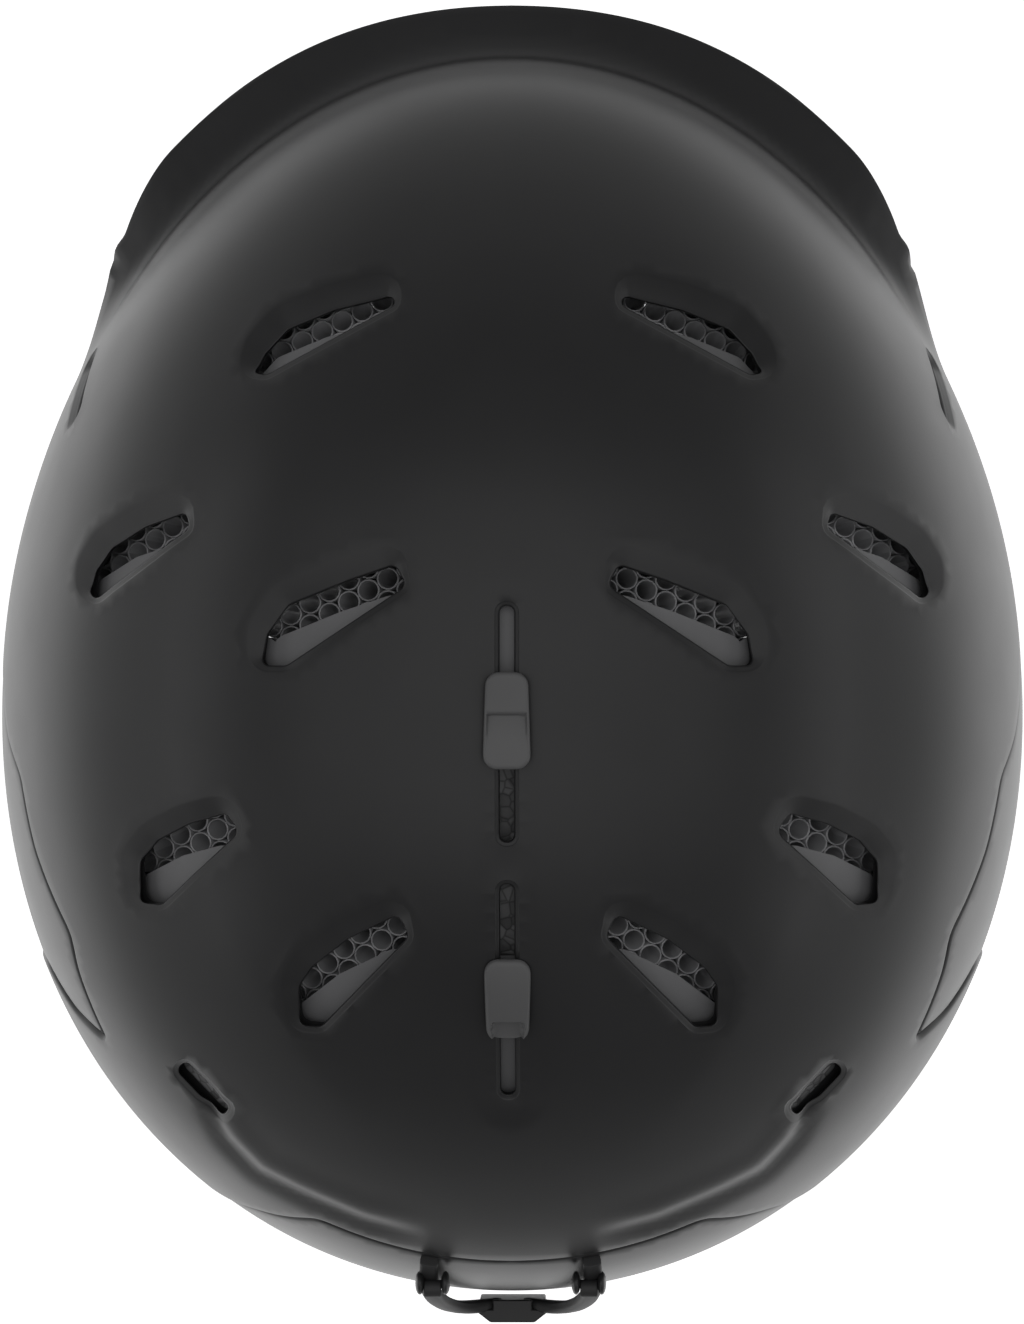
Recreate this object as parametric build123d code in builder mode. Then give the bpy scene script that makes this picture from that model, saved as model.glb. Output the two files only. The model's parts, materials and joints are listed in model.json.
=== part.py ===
from build123d import *
import os
from functools import cache
from math import atan2, cos, degrees, radians, sin, sqrt, tan

# Ski helmet, millimetres. Z is up, the front faces -Y, the wearer's left is +X.
# The origin is below the middle of the helmet, on the plane the ear pads stand on.

os.makedirs("parts", exist_ok=True)

# ---------------------------------------------------------------- driving sizes
HALF_WIDTH = 113.0          # dome, middle to side
HALF_LENGTH = 137.0         # dome, middle to back, and middle to crown
DOME_Y = 1.5                # middle of the dome
DOME_Z = 81.0
REAR_WIDENING = 0.07        # the dome is this much wider at the back than at the middle
RIM_TUCK = 0.06             # and draws in this much from its middle down to the floor
LOW_EYE = -80.0             # the skins are measured along rays from this height
SKIN_STEPS = 27
SKIN_SPREAD = 62.0          # degrees either side of the vertical ray
REACH = 170.0               # half size of a block that holds the whole helmet
TOP = 230.0

# depths below the outer surface
SHELL = 2.6
LINER_OUTER = 2.8
LINER_INNER = 27.0
SHUTTER = (4.0, 5.2)
POCKET = (LINER_OUTER - 0.1, 7.2)
MESH_INSERT = (7.5, 25.0)
PAD = (27.3, 33.0)
EAR_PAD = (9.2, 26.0)
EAR_PLATE = (7.2, 8.9)
WEBBING = (27.8, 29.3)
ANCHOR = (29.4, 30.8)
SPLITTER = (26.4, 30.6)
CHANNEL_DEPTH = 0.9
BUTTON = (-2.2, 0.5)

# edge of the helmet in side view, (y, z)
RIM = [(-REACH, 103), (-95, 100), (-62, 64), (45, 60), (80, 34), (REACH, 34), (REACH, 260), (-REACH, 260)]
SEAM_GAP = 0.3

# comfort pads
BROW_PAD = (PAD[0], 31.0)
BROW_PAD_SIDE = [(-REACH, 101), (-48, 101), (-48, 126), (-REACH, 126)]
BROW_PAD_WIDTH = 124
CROWN_PAD_SIZE = (52, 84)
CROWN_PAD_SLOT = (60, 11)
SIDE_PAD_OUTLINE = [(-46, 104), (54, 104), (48, 134), (-38, 134)]
REAR_PAD_SIZE = (76, 34)

# what belongs to the lower shell: side wings and rear band
SIDE_WING = [
    (-66, 56), (-45, 84), (0, 98), (16, 112), (24, 124), (40, 127), (58, 135),
    (66, 130), (82, 124), (76, 110), (65, 96), (62, 78), (70, 60), (70, 20), (-66, 20),
]
REAR_BAND = [(-70, 20), (-66, 90), (-56, 110), (-42, 130), (42, 130), (56, 110), (66, 90), (70, 20)]
RIM_BAND_TOP = 49.0

# brim, by angle from the front in the plan of the dome
BRIM_END = 60
BRIM_STEPS = 30
BRIM_TIP_Z = 98.0
BRIM_FALL = 6.0             # its ends lie this much lower than its middle
BRIM_RISE = 12.0
BRIM_LIP = 2.6
BRIM_MIDDLE_REACH = 0.088   # shares of the dome's radius
BRIM_CORNER_REACH = 0.025
BRIM_CORNER_ANGLE = 34
BRIM_TAPER = (40, 62)
BRIM_HOLLOW = 0.25          # share of its reach halfway down, so its top is hollow

# vents of the left half in plan, (x, y)
VENTS = {
    "front": [(25, -80), (38, -77), (48, -73), (53, -67.5), (55.2, -62.2), (51.5, -61.4), (23, -76.6)],
    "side": [
        (68.8, -33.6), (66.6, -29.2), (85, -16.3), (88.5, -13.6),
        (91, -15.8), (90, -21), (86.5, -26), (78.8, -30.5),
    ],
    "middle": [
        (23.5, -22.2), (20.4, -16.8), (46.5, 0.4), (52.8, 0.4), (51.7, -7), (47, -13.5), (34.3, -18.6),
    ],
    "rear_side": [(60, 30.8), (56, 35), (73.8, 51.4), (79.6, 51), (79.8, 41.5), (76, 37), (68.6, 33.2)],
    "rear": [(23, 52.2), (20, 57), (39.5, 77), (44.8, 76.6), (45.2, 68), (42.5, 64), (34.5, 57.8)],
}
FRONT_VENTS = ["front", "side", "middle"]
REAR_VENTS = ["rear_side", "rear"]
VENT_CORNER = 1.6
SIDES = {"left": 1, "right": -1}
CELL_PITCH = 4.8
CELL_WALL = 0.6

# slots through the upper shell: outlets at the back in plan, inlets at the sides in side view
REAR_OUTLET = (66, 91)
REAR_OUTLET_SIZE = (15, 4.4)
REAR_OUTLET_TURN = -46
FRONT_INLET = (-61, 114)
FRONT_INLET_SIZE = (22, 4.6)
FRONT_INLET_TURN = 48

# vent shutters swing about the dome's cross axis, so they slide along the shell
SHUTTER_SETBACK = 9.0
SHUTTER_MARGIN = 2.0
SHUTTER_SWEEP = (-11.0, -5.5, 0.0, 6.5)
POCKET_CLEARANCE = 1.2
FRONT_SLOT = (-13.3, 37.6)
REAR_SLOT = (45.6, 92.2)
FRONT_BUTTON = (1.2, 21.4)
REAR_BUTTON = (61.7, 78.6)
SLOT_WIDTH = 4.2
BUTTON_WIDTH = 10.1
NECK = (3.8, 12.0)
SCREW_RADIUS = 0.8
SCREW_HEAD_RADIUS = 1.6
SCREW_HEAD_HEIGHT = 1.1

# ear pads hang from a hinge along their top edge
EAR_OUTLINE = [(-46, 57.5), (38, 57.5), (56, 40), (54, 22), (40, 0), (-26, 0), (-42, 28)]
EAR_HINGE_X = 104.0
EAR_HINGE_Z = 56.5
EAR_KNUCKLES = (-17.0, 17.0)
KNUCKLE_LENGTH = 10.0
KNUCKLE_RADIUS = 2.2
HINGE_PIN_RADIUS = 1.0
EAR_PORT = (3.0, 31.0)
EAR_PORT_RADIUS = 13.0

# retention straps
STRAP_WIDTH = 15.0
RIVET_RADIUS = 2.0
RIVET_HEAD_RADIUS = 4.0
RIVET_HEAD_HEIGHT = 1.2
SPLIT_POINT = (2.0, 28.0)
LEG_ANCHORS = {"front": (-38.0, 84.0), "rear": (50.0, 84.0)}
SPLITTER_OUTLINE = [(-15, 37), (19, 37), (11, 6), (-7, 6)]
SWING_Y = 2.0
SWING_Z = 13.0
CHIN_BAND = (4.0, 22.0)
WEB_THICKNESS = 1.6
CHIN_FILLET = 14
LEG_WINDOW_MIDDLE = (2, 60)
LEG_WINDOW = (140, 74)
ANCHOR_PLATE = (18, 12, 3)
RIVET_DEPTH = 20.0
CHIN_START_X = 76.6
CHIN_BEND = (70.0, -38.0)
CHIN_CORNER = (50.0, -75.0)
CHIN_FRONT_Y = -96.0
BUCKLE_HALF = 26.0
STUD_RADIUS = 2.1
STUD_HEAD_X = 74.0
STUD_HEAD_RADIUS = 4.6
STUD_HEAD_HEIGHT = 1.2
STUD_LENGTH = 7.0
BUCKLE_SOCKET = (30.0, 23.0, 9.2)
BUCKLE_MOUTH = (26.0, 17.0, 4.6)
BUCKLE_TONGUE = (20.5, 21.0, 7.2)
BUCKLE_PRONG = (22.0, 16.0, 4.0)
TAB_WINDOW = (15.0, 9.0)
TAB_SIZE = (9.6, 8.2)
KEEPER_SIZE = (9.0, 22.0, 6.0)

# goggle strap retainer
RETAINER_Z = 123.0
RETAINER_Y = 135.4
RETAINER_X = 17.0
EYELET_RADIUS = 3.0
RETAINER_PIN_RADIUS = 1.5
RETAINER_PLATE = 1.1
CLIP_FACE_Y = 145.3
CLIP_Z = (58.0, 82.0)
CLIP_WIDTH = 15.5

# fit ring, tilted down towards the nape
RING_TILT = 25.0
RING_CENTRE = (0, 26, 56)
BAND_RADII = (79.0, 80.2)
BAND_HALF_HEIGHT = 6.5
BAND_START = -20.0
BAND_FULL_END = 67.0
TONGUE_END = 96.0
TONGUE_LOW = 4.4
PINION_RADIUS = 4.0
CRADLE_INNER = (76.2, 78.4)
CRADLE_OUTER = (80.9, 83.0)
CRADLE_SPAN = 28.0
CRADLE_HALF_HEIGHT = 14.0
CRADLE_RAIL = 1.5
DIAL_RADIUS = 14.0
DIAL_REACH = (83.5, 91.5)
DIAL_RIBS = 24
SHAFT_RADIUS = 1.45
CAP_RADIUS = 3.4
CAP_DEPTH = 1.4
NAPE_PAD_THICKNESS = 4.5
NAPE_PAD_SPAN = 19.0
NAPE_PAD_HALF_HEIGHT = 12.0


def finish(piece, name):
    """Name a finished piece and write it."""
    piece.part.label = name
    export_step(piece.part, f"parts/{name}.step")


# ---------------------------------------------------------------- the dome
def inside_dome(x, y, z, depth):
    """True where a point lies deeper than depth below the outer surface."""
    along = (y - DOME_Y) / (HALF_LENGTH - depth)
    across = x / ((HALF_WIDTH - depth) * (1 + REAR_WIDENING * along))
    if z > DOME_Z:
        up = (z - DOME_Z) / (HALF_LENGTH - depth)
        return across**2 + along**2 + up**2 < 1
    tuck = 1 - RIM_TUCK * ((DOME_Z - z) / DOME_Z) ** 2
    return across**2 + along**2 < tuck**2


def dome_point(slope_x, slope_y, depth):
    """Where a ray from the low eye meets the surface at depth."""
    length = sqrt(slope_x**2 + slope_y**2 + 1)
    near, far = 0.0, 600.0
    for _ in range(45):
        middle = (near + far) / 2 / length
        if inside_dome(middle * slope_x, DOME_Y + middle * slope_y, LOW_EYE + middle, depth):
            near = middle * length
        else:
            far = middle * length
    middle = near / length
    return Vector(middle * slope_x, DOME_Y + middle * slope_y, LOW_EYE + middle)


@cache
def core(depth):
    """Everything inside the surface at depth, as one solid."""
    angles = [SKIN_SPREAD * (2 * step / (SKIN_STEPS - 1) - 1) for step in range(SKIN_STEPS)]
    slopes = [tan(radians(angle)) for angle in angles]
    grid = [[dome_point(sx, sy, depth) for sy in slopes] for sx in slopes]
    skin = Face.make_surface_from_array_of_points(grid, tol=0.02)
    block = Solid.make_box(2 * REACH, 2 * REACH, 260).moved(Location((-REACH, -REACH, -2)))
    return min(block.split(skin, keep=Keep.ALL), key=lambda half: half.volume)


def keep_layer(depths):
    """Trim the part being built to the skin between two depths."""
    add(core(depths[0]), mode=Mode.INTERSECT)
    add(core(depths[1]), mode=Mode.SUBTRACT)


def across(outline, radius=0.0, grow=0.0, mode=Mode.ADD):
    """A side view outline, (y, z), run right through the helmet along X."""
    with BuildSketch(Plane.YZ.offset(-REACH)) as side_view:
        with BuildLine():
            if radius:
                FilletPolyline(*outline, radius=radius, close=True)
            else:
                Polyline(*outline, close=True)
        make_face()
        if grow:
            offset(amount=grow)
    extrude(side_view.sketch, amount=2 * REACH, mode=mode)


def one_side(outline, side, radius=0.0, mode=Mode.ADD):
    """A side view outline, (y, z), run outwards from the middle on one side only."""
    with BuildSketch(Plane.YZ.offset(min(side, 0) * REACH)) as side_view:
        with BuildLine():
            FilletPolyline(*outline, radius=radius, close=True)
        make_face()
    extrude(side_view.sketch, amount=REACH, mode=mode)


def hinge_notches(side, low, mode=Mode.SUBTRACT):
    """Room for the ear pad hinges, above a height."""
    for place in EAR_KNUCKLES:
        with Locations((side * EAR_HINGE_X, place, (low + 62) / 2)):
            Box(8, KNUCKLE_LENGTH + 1.4, 62 - low, mode=mode)


def lower_zone(grow):
    """The space that belongs to the lower shell: side wings, rear band and rim band."""
    with BuildPart() as zone:
        across(SIDE_WING, radius=2.0, grow=grow)
        with BuildSketch(Plane.XZ.offset(-REACH)):
            with BuildLine():
                FilletPolyline(*REAR_BAND, radius=8, close=True)
            make_face()
            offset(amount=grow)
        extrude(amount=REACH - 62)
        with BuildSketch(Plane.XY.offset(10)):
            with Locations((0, (REACH - 55) / 2)):
                Rectangle(2 * REACH, REACH + 55 + 2 * grow)
        extrude(amount=RIM_BAND_TOP - 10 + grow)
    return zone.part


def smooth(x):
    x = min(max(x, 0.0), 1.0)
    return x * x * (3 - 2 * x)


def brim_reach(angle):
    """How far the brim stands out of the dome, as a share of its radius."""
    reach = BRIM_MIDDLE_REACH + BRIM_CORNER_REACH * smooth(angle / BRIM_CORNER_ANGLE)
    return reach * (1 - smooth((angle - BRIM_TAPER[0]) / (BRIM_TAPER[1] - BRIM_TAPER[0])))


def dome_share(z):
    """Radius of the dome at a height, as a share of its largest radius."""
    if z > DOME_Z:
        return sqrt(1 - ((z - DOME_Z) / HALF_LENGTH) ** 2)
    return 1 - RIM_TUCK * ((DOME_Z - z) / DOME_Z) ** 2


def plan_point(angle, share):
    """Plan position at an angle from the front, at a share of the dome's radius."""
    along = -cos(radians(angle)) * share
    x = HALF_WIDTH * sin(radians(angle)) * share * (1 + REAR_WIDENING * along)
    return (x, DOME_Y + HALF_LENGTH * along)


def vent_outline(name, side, shift=0.0, grow=0.0):
    """One vent as a face in the sketch being drawn."""
    points = [(side * x, y + shift) for x, y in VENTS[name]]
    with BuildSketch() as outline:
        with BuildLine():
            FilletPolyline(*points, radius=VENT_CORNER, close=True)
        make_face()
        if grow:
            offset(amount=grow)
    add(outline.sketch)


def vent_cells(name, side):
    """Cut the hexagonal air cells of one vent out of the sketch being drawn."""
    xs, ys = zip(*VENTS[name])
    middle = (side * (min(xs) + max(xs)) / 2, (min(ys) + max(ys)) / 2)
    with BuildSketch() as cells:
        with Locations(middle):
            with HexLocations(CELL_PITCH / 2, 11, 9):
                RegularPolygon((CELL_PITCH - CELL_WALL) / 2, 6, major_radius=False)
    with BuildSketch() as openings:
        vent_outline(name, side)
        add(cells.sketch, mode=Mode.INTERSECT)
    add(openings.sketch, mode=Mode.SUBTRACT)


def strip(start, end, width, mode=Mode.ADD):
    """A straight bar between two points of the sketch being drawn."""
    run = Vector(*end) - Vector(*start)
    with Locations(((start[0] + end[0]) / 2, (start[1] + end[1]) / 2)):
        Rectangle(run.length, width, rotation=degrees(atan2(run.Y, run.X)), mode=mode)


def front_shutter_outline(shift=0.0, grow=0.0):
    """Plan of the front shutter: six pads joined to a spine under the front button."""
    for side in SIDES.values():
        for name in FRONT_VENTS:
            vent_outline(name, side, SHUTTER_SETBACK + shift, SHUTTER_MARGIN + grow)
        strip((0, -9 + shift), (side * 24, -9 + shift), 9 + 2 * grow)
        strip((side * 50, -1 + shift), (side * 71, -16 + shift), 8 + 2 * grow)
        strip((side * 12, -8 + shift), (side * 12, -70 + shift), 6 + 2 * grow)
        strip((side * 10, -66.5 + shift), (side * 31, -66.5 + shift), 8 + 2 * grow)
    strip((0, -20 + shift), (0, 21 + shift), 9 + 2 * grow)


def rear_shutter_outline(shift=0.0, grow=0.0):
    """Plan of the rear shutter: four pads joined to a spine behind the rear button."""
    for side in SIDES.values():
        for name in REAR_VENTS:
            vent_outline(name, side, SHUTTER_SETBACK + shift, SHUTTER_MARGIN + grow)
        strip((0, 69 + shift), (side * 28, 69 + shift), 9 + 2 * grow)
        strip((side * 45, 78 + shift), (side * 65, 45 + shift), 8 + 2 * grow)
    strip((0, 61 + shift), (0, 100 + shift), 9 + 2 * grow)


# ---------------------------------------------------------------- shells
upper_zone_cut = lower_zone(SEAM_GAP)
lower_zone_keep = lower_zone(-SEAM_GAP)

with BuildPart() as brim:
    for step in range(BRIM_STEPS + 1):
        angle = BRIM_END * (2 * step / BRIM_STEPS - 1)
        tip_z = BRIM_TIP_Z - BRIM_FALL * smooth(abs(angle) / BRIM_END)
        root_z = tip_z + BRIM_RISE
        half_z = tip_z + BRIM_RISE / 2
        tip = dome_share(tip_z) + brim_reach(abs(angle))
        corners = [
            (dome_share(root_z) - 0.015, root_z), (dome_share(root_z) + 0.002, root_z),
            (dome_share(half_z) + 0.003 + brim_reach(abs(angle)) * BRIM_HOLLOW, half_z), (tip, tip_z),
            (tip - 0.012, tip_z - BRIM_LIP), (dome_share(tip_z) - 0.015, tip_z - BRIM_LIP),
        ]
        places = [(Vector(*plan_point(angle, share)) - Vector(0, DOME_Y), z) for share, z in corners]
        heading = places[3][0]
        with BuildSketch(Plane(origin=(0, DOME_Y, 0), x_dir=(heading.X, heading.Y, 0),
                               z_dir=(heading.Y, -heading.X, 0))):
            with BuildLine():
                Polyline(*[(place.length, z) for place, z in places], close=True)
            make_face()
    loft(ruled=True)

with BuildPart() as channel_cut:
    with BuildSketch(Plane.XY.offset(150)):
        for ends in (FRONT_SLOT, REAR_SLOT):
            with Locations((0, sum(ends) / 2)):
                RectangleRounded(BUTTON_WIDTH + 1.2, ends[1] - ends[0] + 6, 4)
    extrude(amount=TOP - 150)
    add(core(CHANNEL_DEPTH), mode=Mode.SUBTRACT)

with BuildPart() as upper_shell:
    add(core(0.0))
    add(core(SHELL), mode=Mode.SUBTRACT)
    across(RIM, mode=Mode.INTERSECT)
    add(upper_zone_cut, mode=Mode.SUBTRACT)
    add(brim.part)
    add(core(SHELL), mode=Mode.SUBTRACT)
    add(channel_cut.part, mode=Mode.SUBTRACT)
    with BuildSketch(Plane.XY.offset(110)):
        for side in SIDES.values():
            for name in VENTS:
                vent_outline(name, side)
        for ends in (FRONT_SLOT, REAR_SLOT):
            with Locations((0, sum(ends) / 2)):
                SlotOverall(ends[1] - ends[0], SLOT_WIDTH, rotation=90)
    extrude(amount=TOP - 110, mode=Mode.SUBTRACT)
    with BuildSketch(Plane.XY.offset(130)):
        for side in SIDES.values():
            with Locations((side * REAR_OUTLET[0], REAR_OUTLET[1])):
                SlotOverall(*REAR_OUTLET_SIZE, rotation=side * REAR_OUTLET_TURN)
    extrude(amount=50, mode=Mode.SUBTRACT)
    with BuildSketch(Plane.YZ.offset(-REACH)):
        with Locations(FRONT_INLET):
            SlotOverall(*FRONT_INLET_SIZE, rotation=FRONT_INLET_TURN)
    extrude(amount=2 * REACH, mode=Mode.SUBTRACT)
finish(upper_shell, "upper_shell")

with BuildPart() as lower_shell:
    add(core(0.0))
    add(core(SHELL), mode=Mode.SUBTRACT)
    across(RIM, mode=Mode.INTERSECT)
    add(lower_zone_keep, mode=Mode.INTERSECT)
finish(lower_shell, "lower_shell")

# ---------------------------------------------------------------- liner and what it holds
with BuildPart() as shutter_pocket:
    with BuildSketch(Plane.XY.offset(130)):
        for shift in SHUTTER_SWEEP:
            front_shutter_outline(shift, POCKET_CLEARANCE)
            rear_shutter_outline(shift, POCKET_CLEARANCE)
        for ends in (FRONT_SLOT, REAR_SLOT):
            with Locations((0, sum(ends) / 2)):
                Rectangle(BUTTON_WIDTH, ends[1] - ends[0] + 2)
    extrude(amount=TOP - 130)
    keep_layer(POCKET)

with BuildPart() as impact_liner:
    add(core(LINER_OUTER))
    add(core(LINER_INNER), mode=Mode.SUBTRACT)
    across(RIM, grow=-1.0, mode=Mode.INTERSECT)
    add(shutter_pocket.part, mode=Mode.SUBTRACT)
    with BuildSketch(Plane.XY.offset(100)):
        for side in SIDES.values():
            for name in VENTS:
                vent_outline(name, side, grow=1.6)
    extrude(amount=TOP - 100, mode=Mode.SUBTRACT)
    for side in SIDES.values():
        for place in EAR_KNUCKLES:
            with BuildSketch(Plane.XY.offset(50)):
                with Locations((side * EAR_HINGE_X, place)):
                    Rectangle(2 * KNUCKLE_RADIUS + 0.4, KNUCKLE_LENGTH + 0.4)
            extrude(amount=17, mode=Mode.SUBTRACT)
        with BuildSketch(Plane.YZ.offset(side * 50)) as rivet_bores:
            with Locations(*LEG_ANCHORS.values()):
                Circle(RIVET_RADIUS)
        extrude(rivet_bores.sketch, amount=side * 39, mode=Mode.SUBTRACT)
finish(impact_liner, "impact_liner")


for side_name, side in SIDES.items():
    with BuildPart() as honeycomb:
        with BuildSketch(Plane.XY.offset(120)):
            for name in VENTS:
                vent_outline(name, side, grow=1.4)
            for name in VENTS:
                vent_cells(name, side)
        extrude(amount=TOP - 120)
        keep_layer(MESH_INSERT)
    finish(honeycomb, f"honeycomb_{side_name}")

with BuildPart() as brow_pad:
    across(BROW_PAD_SIDE)
    with BuildSketch(Plane.XY.offset(90)):
        with Locations((0, -REACH / 2)):
            Rectangle(BROW_PAD_WIDTH, REACH)
    extrude(amount=60, mode=Mode.INTERSECT)
    keep_layer(BROW_PAD)
finish(brow_pad, "brow_pad")

with BuildPart() as crown_pad:
    with BuildSketch(Plane.XY.offset(150)):
        with Locations((0, 6)):
            RectangleRounded(*CROWN_PAD_SIZE, 16)
            SlotOverall(*CROWN_PAD_SLOT, rotation=90, mode=Mode.SUBTRACT)
    extrude(amount=TOP - 150)
    keep_layer(PAD)
finish(crown_pad, "crown_pad")

for side_name, side in SIDES.items():
    with BuildPart() as side_pad:
        one_side(SIDE_PAD_OUTLINE, side, radius=9)
        keep_layer(PAD)
    finish(side_pad, f"side_pad_{side_name}")

with BuildPart() as rear_pad:
    with BuildSketch(Plane.XZ.offset(-REACH)):
        with Locations((0, 107)):
            RectangleRounded(*REAR_PAD_SIZE, 9)
    extrude(amount=REACH - 60)
    keep_layer(PAD)
finish(rear_pad, "rear_pad")

# ---------------------------------------------------------------- vent shutters and sliders
def screw_circles(middle, radius, mode=Mode.ADD):
    """The pair of circles of one slider's screws, in the sketch being drawn."""
    with Locations((0, middle)):
        with GridLocations(1, NECK[1] / 2, 1, 2):
            Circle(radius, mode=mode)


SHUTTERS = {
    "front": (front_shutter_outline, FRONT_BUTTON),
    "rear": (rear_shutter_outline, REAR_BUTTON),
}
for end_name, (outline, button) in SHUTTERS.items():
    middle = sum(button) / 2
    with BuildPart() as shutter:
        with BuildSketch(Plane.XY.offset(120)):
            outline()
            screw_circles(middle, SCREW_RADIUS + 0.1, Mode.SUBTRACT)
        extrude(amount=TOP - 120)
        keep_layer(SHUTTER)
    finish(shutter, f"{end_name}_vent_shutter")

    with BuildPart() as neck:
        with BuildSketch(Plane.XY.offset(150)):
            with Locations((0, middle)):
                RectangleRounded(*NECK, 1.2)
            screw_circles(middle, SCREW_RADIUS, Mode.SUBTRACT)
        extrude(amount=TOP - 150)
        keep_layer((0.0, SHUTTER[0]))

    with BuildPart() as slider:
        with BuildSketch(Plane.XY.offset(150)):
            with Locations((0, middle)):
                RectangleRounded(BUTTON_WIDTH, button[1] - button[0], 2.4)
        extrude(amount=TOP - 150)
        keep_layer(BUTTON)
        add(neck.part)
    finish(slider, f"{end_name}_vent_slider")

    with BuildPart() as screw_shanks:
        with BuildSketch(Plane.XY.offset(150)):
            screw_circles(middle, SCREW_RADIUS)
        extrude(amount=TOP - 150)
        keep_layer((BUTTON[1] + 0.1, SHUTTER[1]))

    with BuildPart() as screws:
        with BuildSketch(Plane.XY.offset(150)):
            screw_circles(middle, SCREW_HEAD_RADIUS)
        extrude(amount=TOP - 150)
        keep_layer((SHUTTER[1], SHUTTER[1] + SCREW_HEAD_HEIGHT))
        add(screw_shanks.part)
    finish(screws, f"{end_name}_slider_screws")

# ---------------------------------------------------------------- ear pads
for side_name, side in SIDES.items():
    with BuildPart() as ear_pad:
        one_side(EAR_OUTLINE, side, radius=9)
        with BuildSketch(Plane.YZ.offset(side * 60)):
            with Locations(EAR_PORT):
                Circle(EAR_PORT_RADIUS)
        extrude(amount=side * 70, mode=Mode.SUBTRACT)
        keep_layer(EAR_PAD)
        hinge_notches(side, 48)
    finish(ear_pad, f"ear_pad_{side_name}")

    with BuildPart() as port_mesh:
        with BuildSketch(Plane.YZ.offset(side * 60)):
            with Locations(EAR_PORT):
                Circle(EAR_PORT_RADIUS)
        extrude(amount=side * 70)
        keep_layer((13.0, 20.0))
    finish(port_mesh, f"ear_port_mesh_{side_name}")

    with BuildPart() as ear_plate:
        one_side(EAR_OUTLINE, side, radius=9)
        with BuildSketch(Plane.YZ.offset(side * 60)) as windows:
            with Locations(EAR_PORT):
                Circle(EAR_PORT_RADIUS - 2)
        extrude(windows.sketch, amount=side * 70, mode=Mode.SUBTRACT)
        keep_layer(EAR_PLATE)
        hinge_notches(side, 53.6)
        for place in EAR_KNUCKLES:
            with Locations((side * (EAR_HINGE_X - 0.1), place, EAR_HINGE_Z - 3)):
                Box(2.6, KNUCKLE_LENGTH / 2, 6)
            with BuildSketch(Plane.XZ.offset(-place - KNUCKLE_LENGTH / 4)) as knuckle:
                with Locations((side * EAR_HINGE_X, EAR_HINGE_Z)):
                    Circle(KNUCKLE_RADIUS)
            extrude(knuckle.sketch, amount=KNUCKLE_LENGTH / 2)
            with BuildSketch(Plane.XZ.offset(-place - KNUCKLE_LENGTH / 2 - 1)) as bore:
                with Locations((side * EAR_HINGE_X, EAR_HINGE_Z)):
                    Circle(HINGE_PIN_RADIUS + 0.1)
            extrude(bore.sketch, amount=KNUCKLE_LENGTH + 2, mode=Mode.SUBTRACT)
    finish(ear_plate, f"ear_pad_plate_{side_name}")

    with BuildPart() as lugs:
        for place in EAR_KNUCKLES:
            for end in (-1, 1):
                lug_y = place + end * KNUCKLE_LENGTH * 0.385
                with BuildSketch(Plane.XZ.offset(-lug_y - KNUCKLE_LENGTH * 0.1)) as lug:
                    with Locations((side * EAR_HINGE_X, EAR_HINGE_Z)):
                        Circle(KNUCKLE_RADIUS)
                    with Locations((side * EAR_HINGE_X, EAR_HINGE_Z + 4.5)):
                        Rectangle(2 * KNUCKLE_RADIUS, 9)
                    with Locations((side * EAR_HINGE_X, EAR_HINGE_Z)):
                        Circle(HINGE_PIN_RADIUS, mode=Mode.SUBTRACT)
                extrude(lug.sketch, amount=KNUCKLE_LENGTH * 0.2)
            with Locations((side * EAR_HINGE_X, place, 65.0)):
                Box(2 * KNUCKLE_RADIUS, KNUCKLE_LENGTH * 0.97, 3)
    finish(lugs, f"ear_hinge_lugs_{side_name}")

    with BuildPart() as hinge_pins:
        for place in EAR_KNUCKLES:
            with BuildSketch(Plane.XZ.offset(-place - KNUCKLE_LENGTH / 2 - 0.5)) as pin:
                with Locations((side * EAR_HINGE_X, EAR_HINGE_Z)):
                    Circle(HINGE_PIN_RADIUS)
            extrude(pin.sketch, amount=KNUCKLE_LENGTH + 1)
    finish(hinge_pins, f"ear_hinge_pins_{side_name}")

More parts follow.
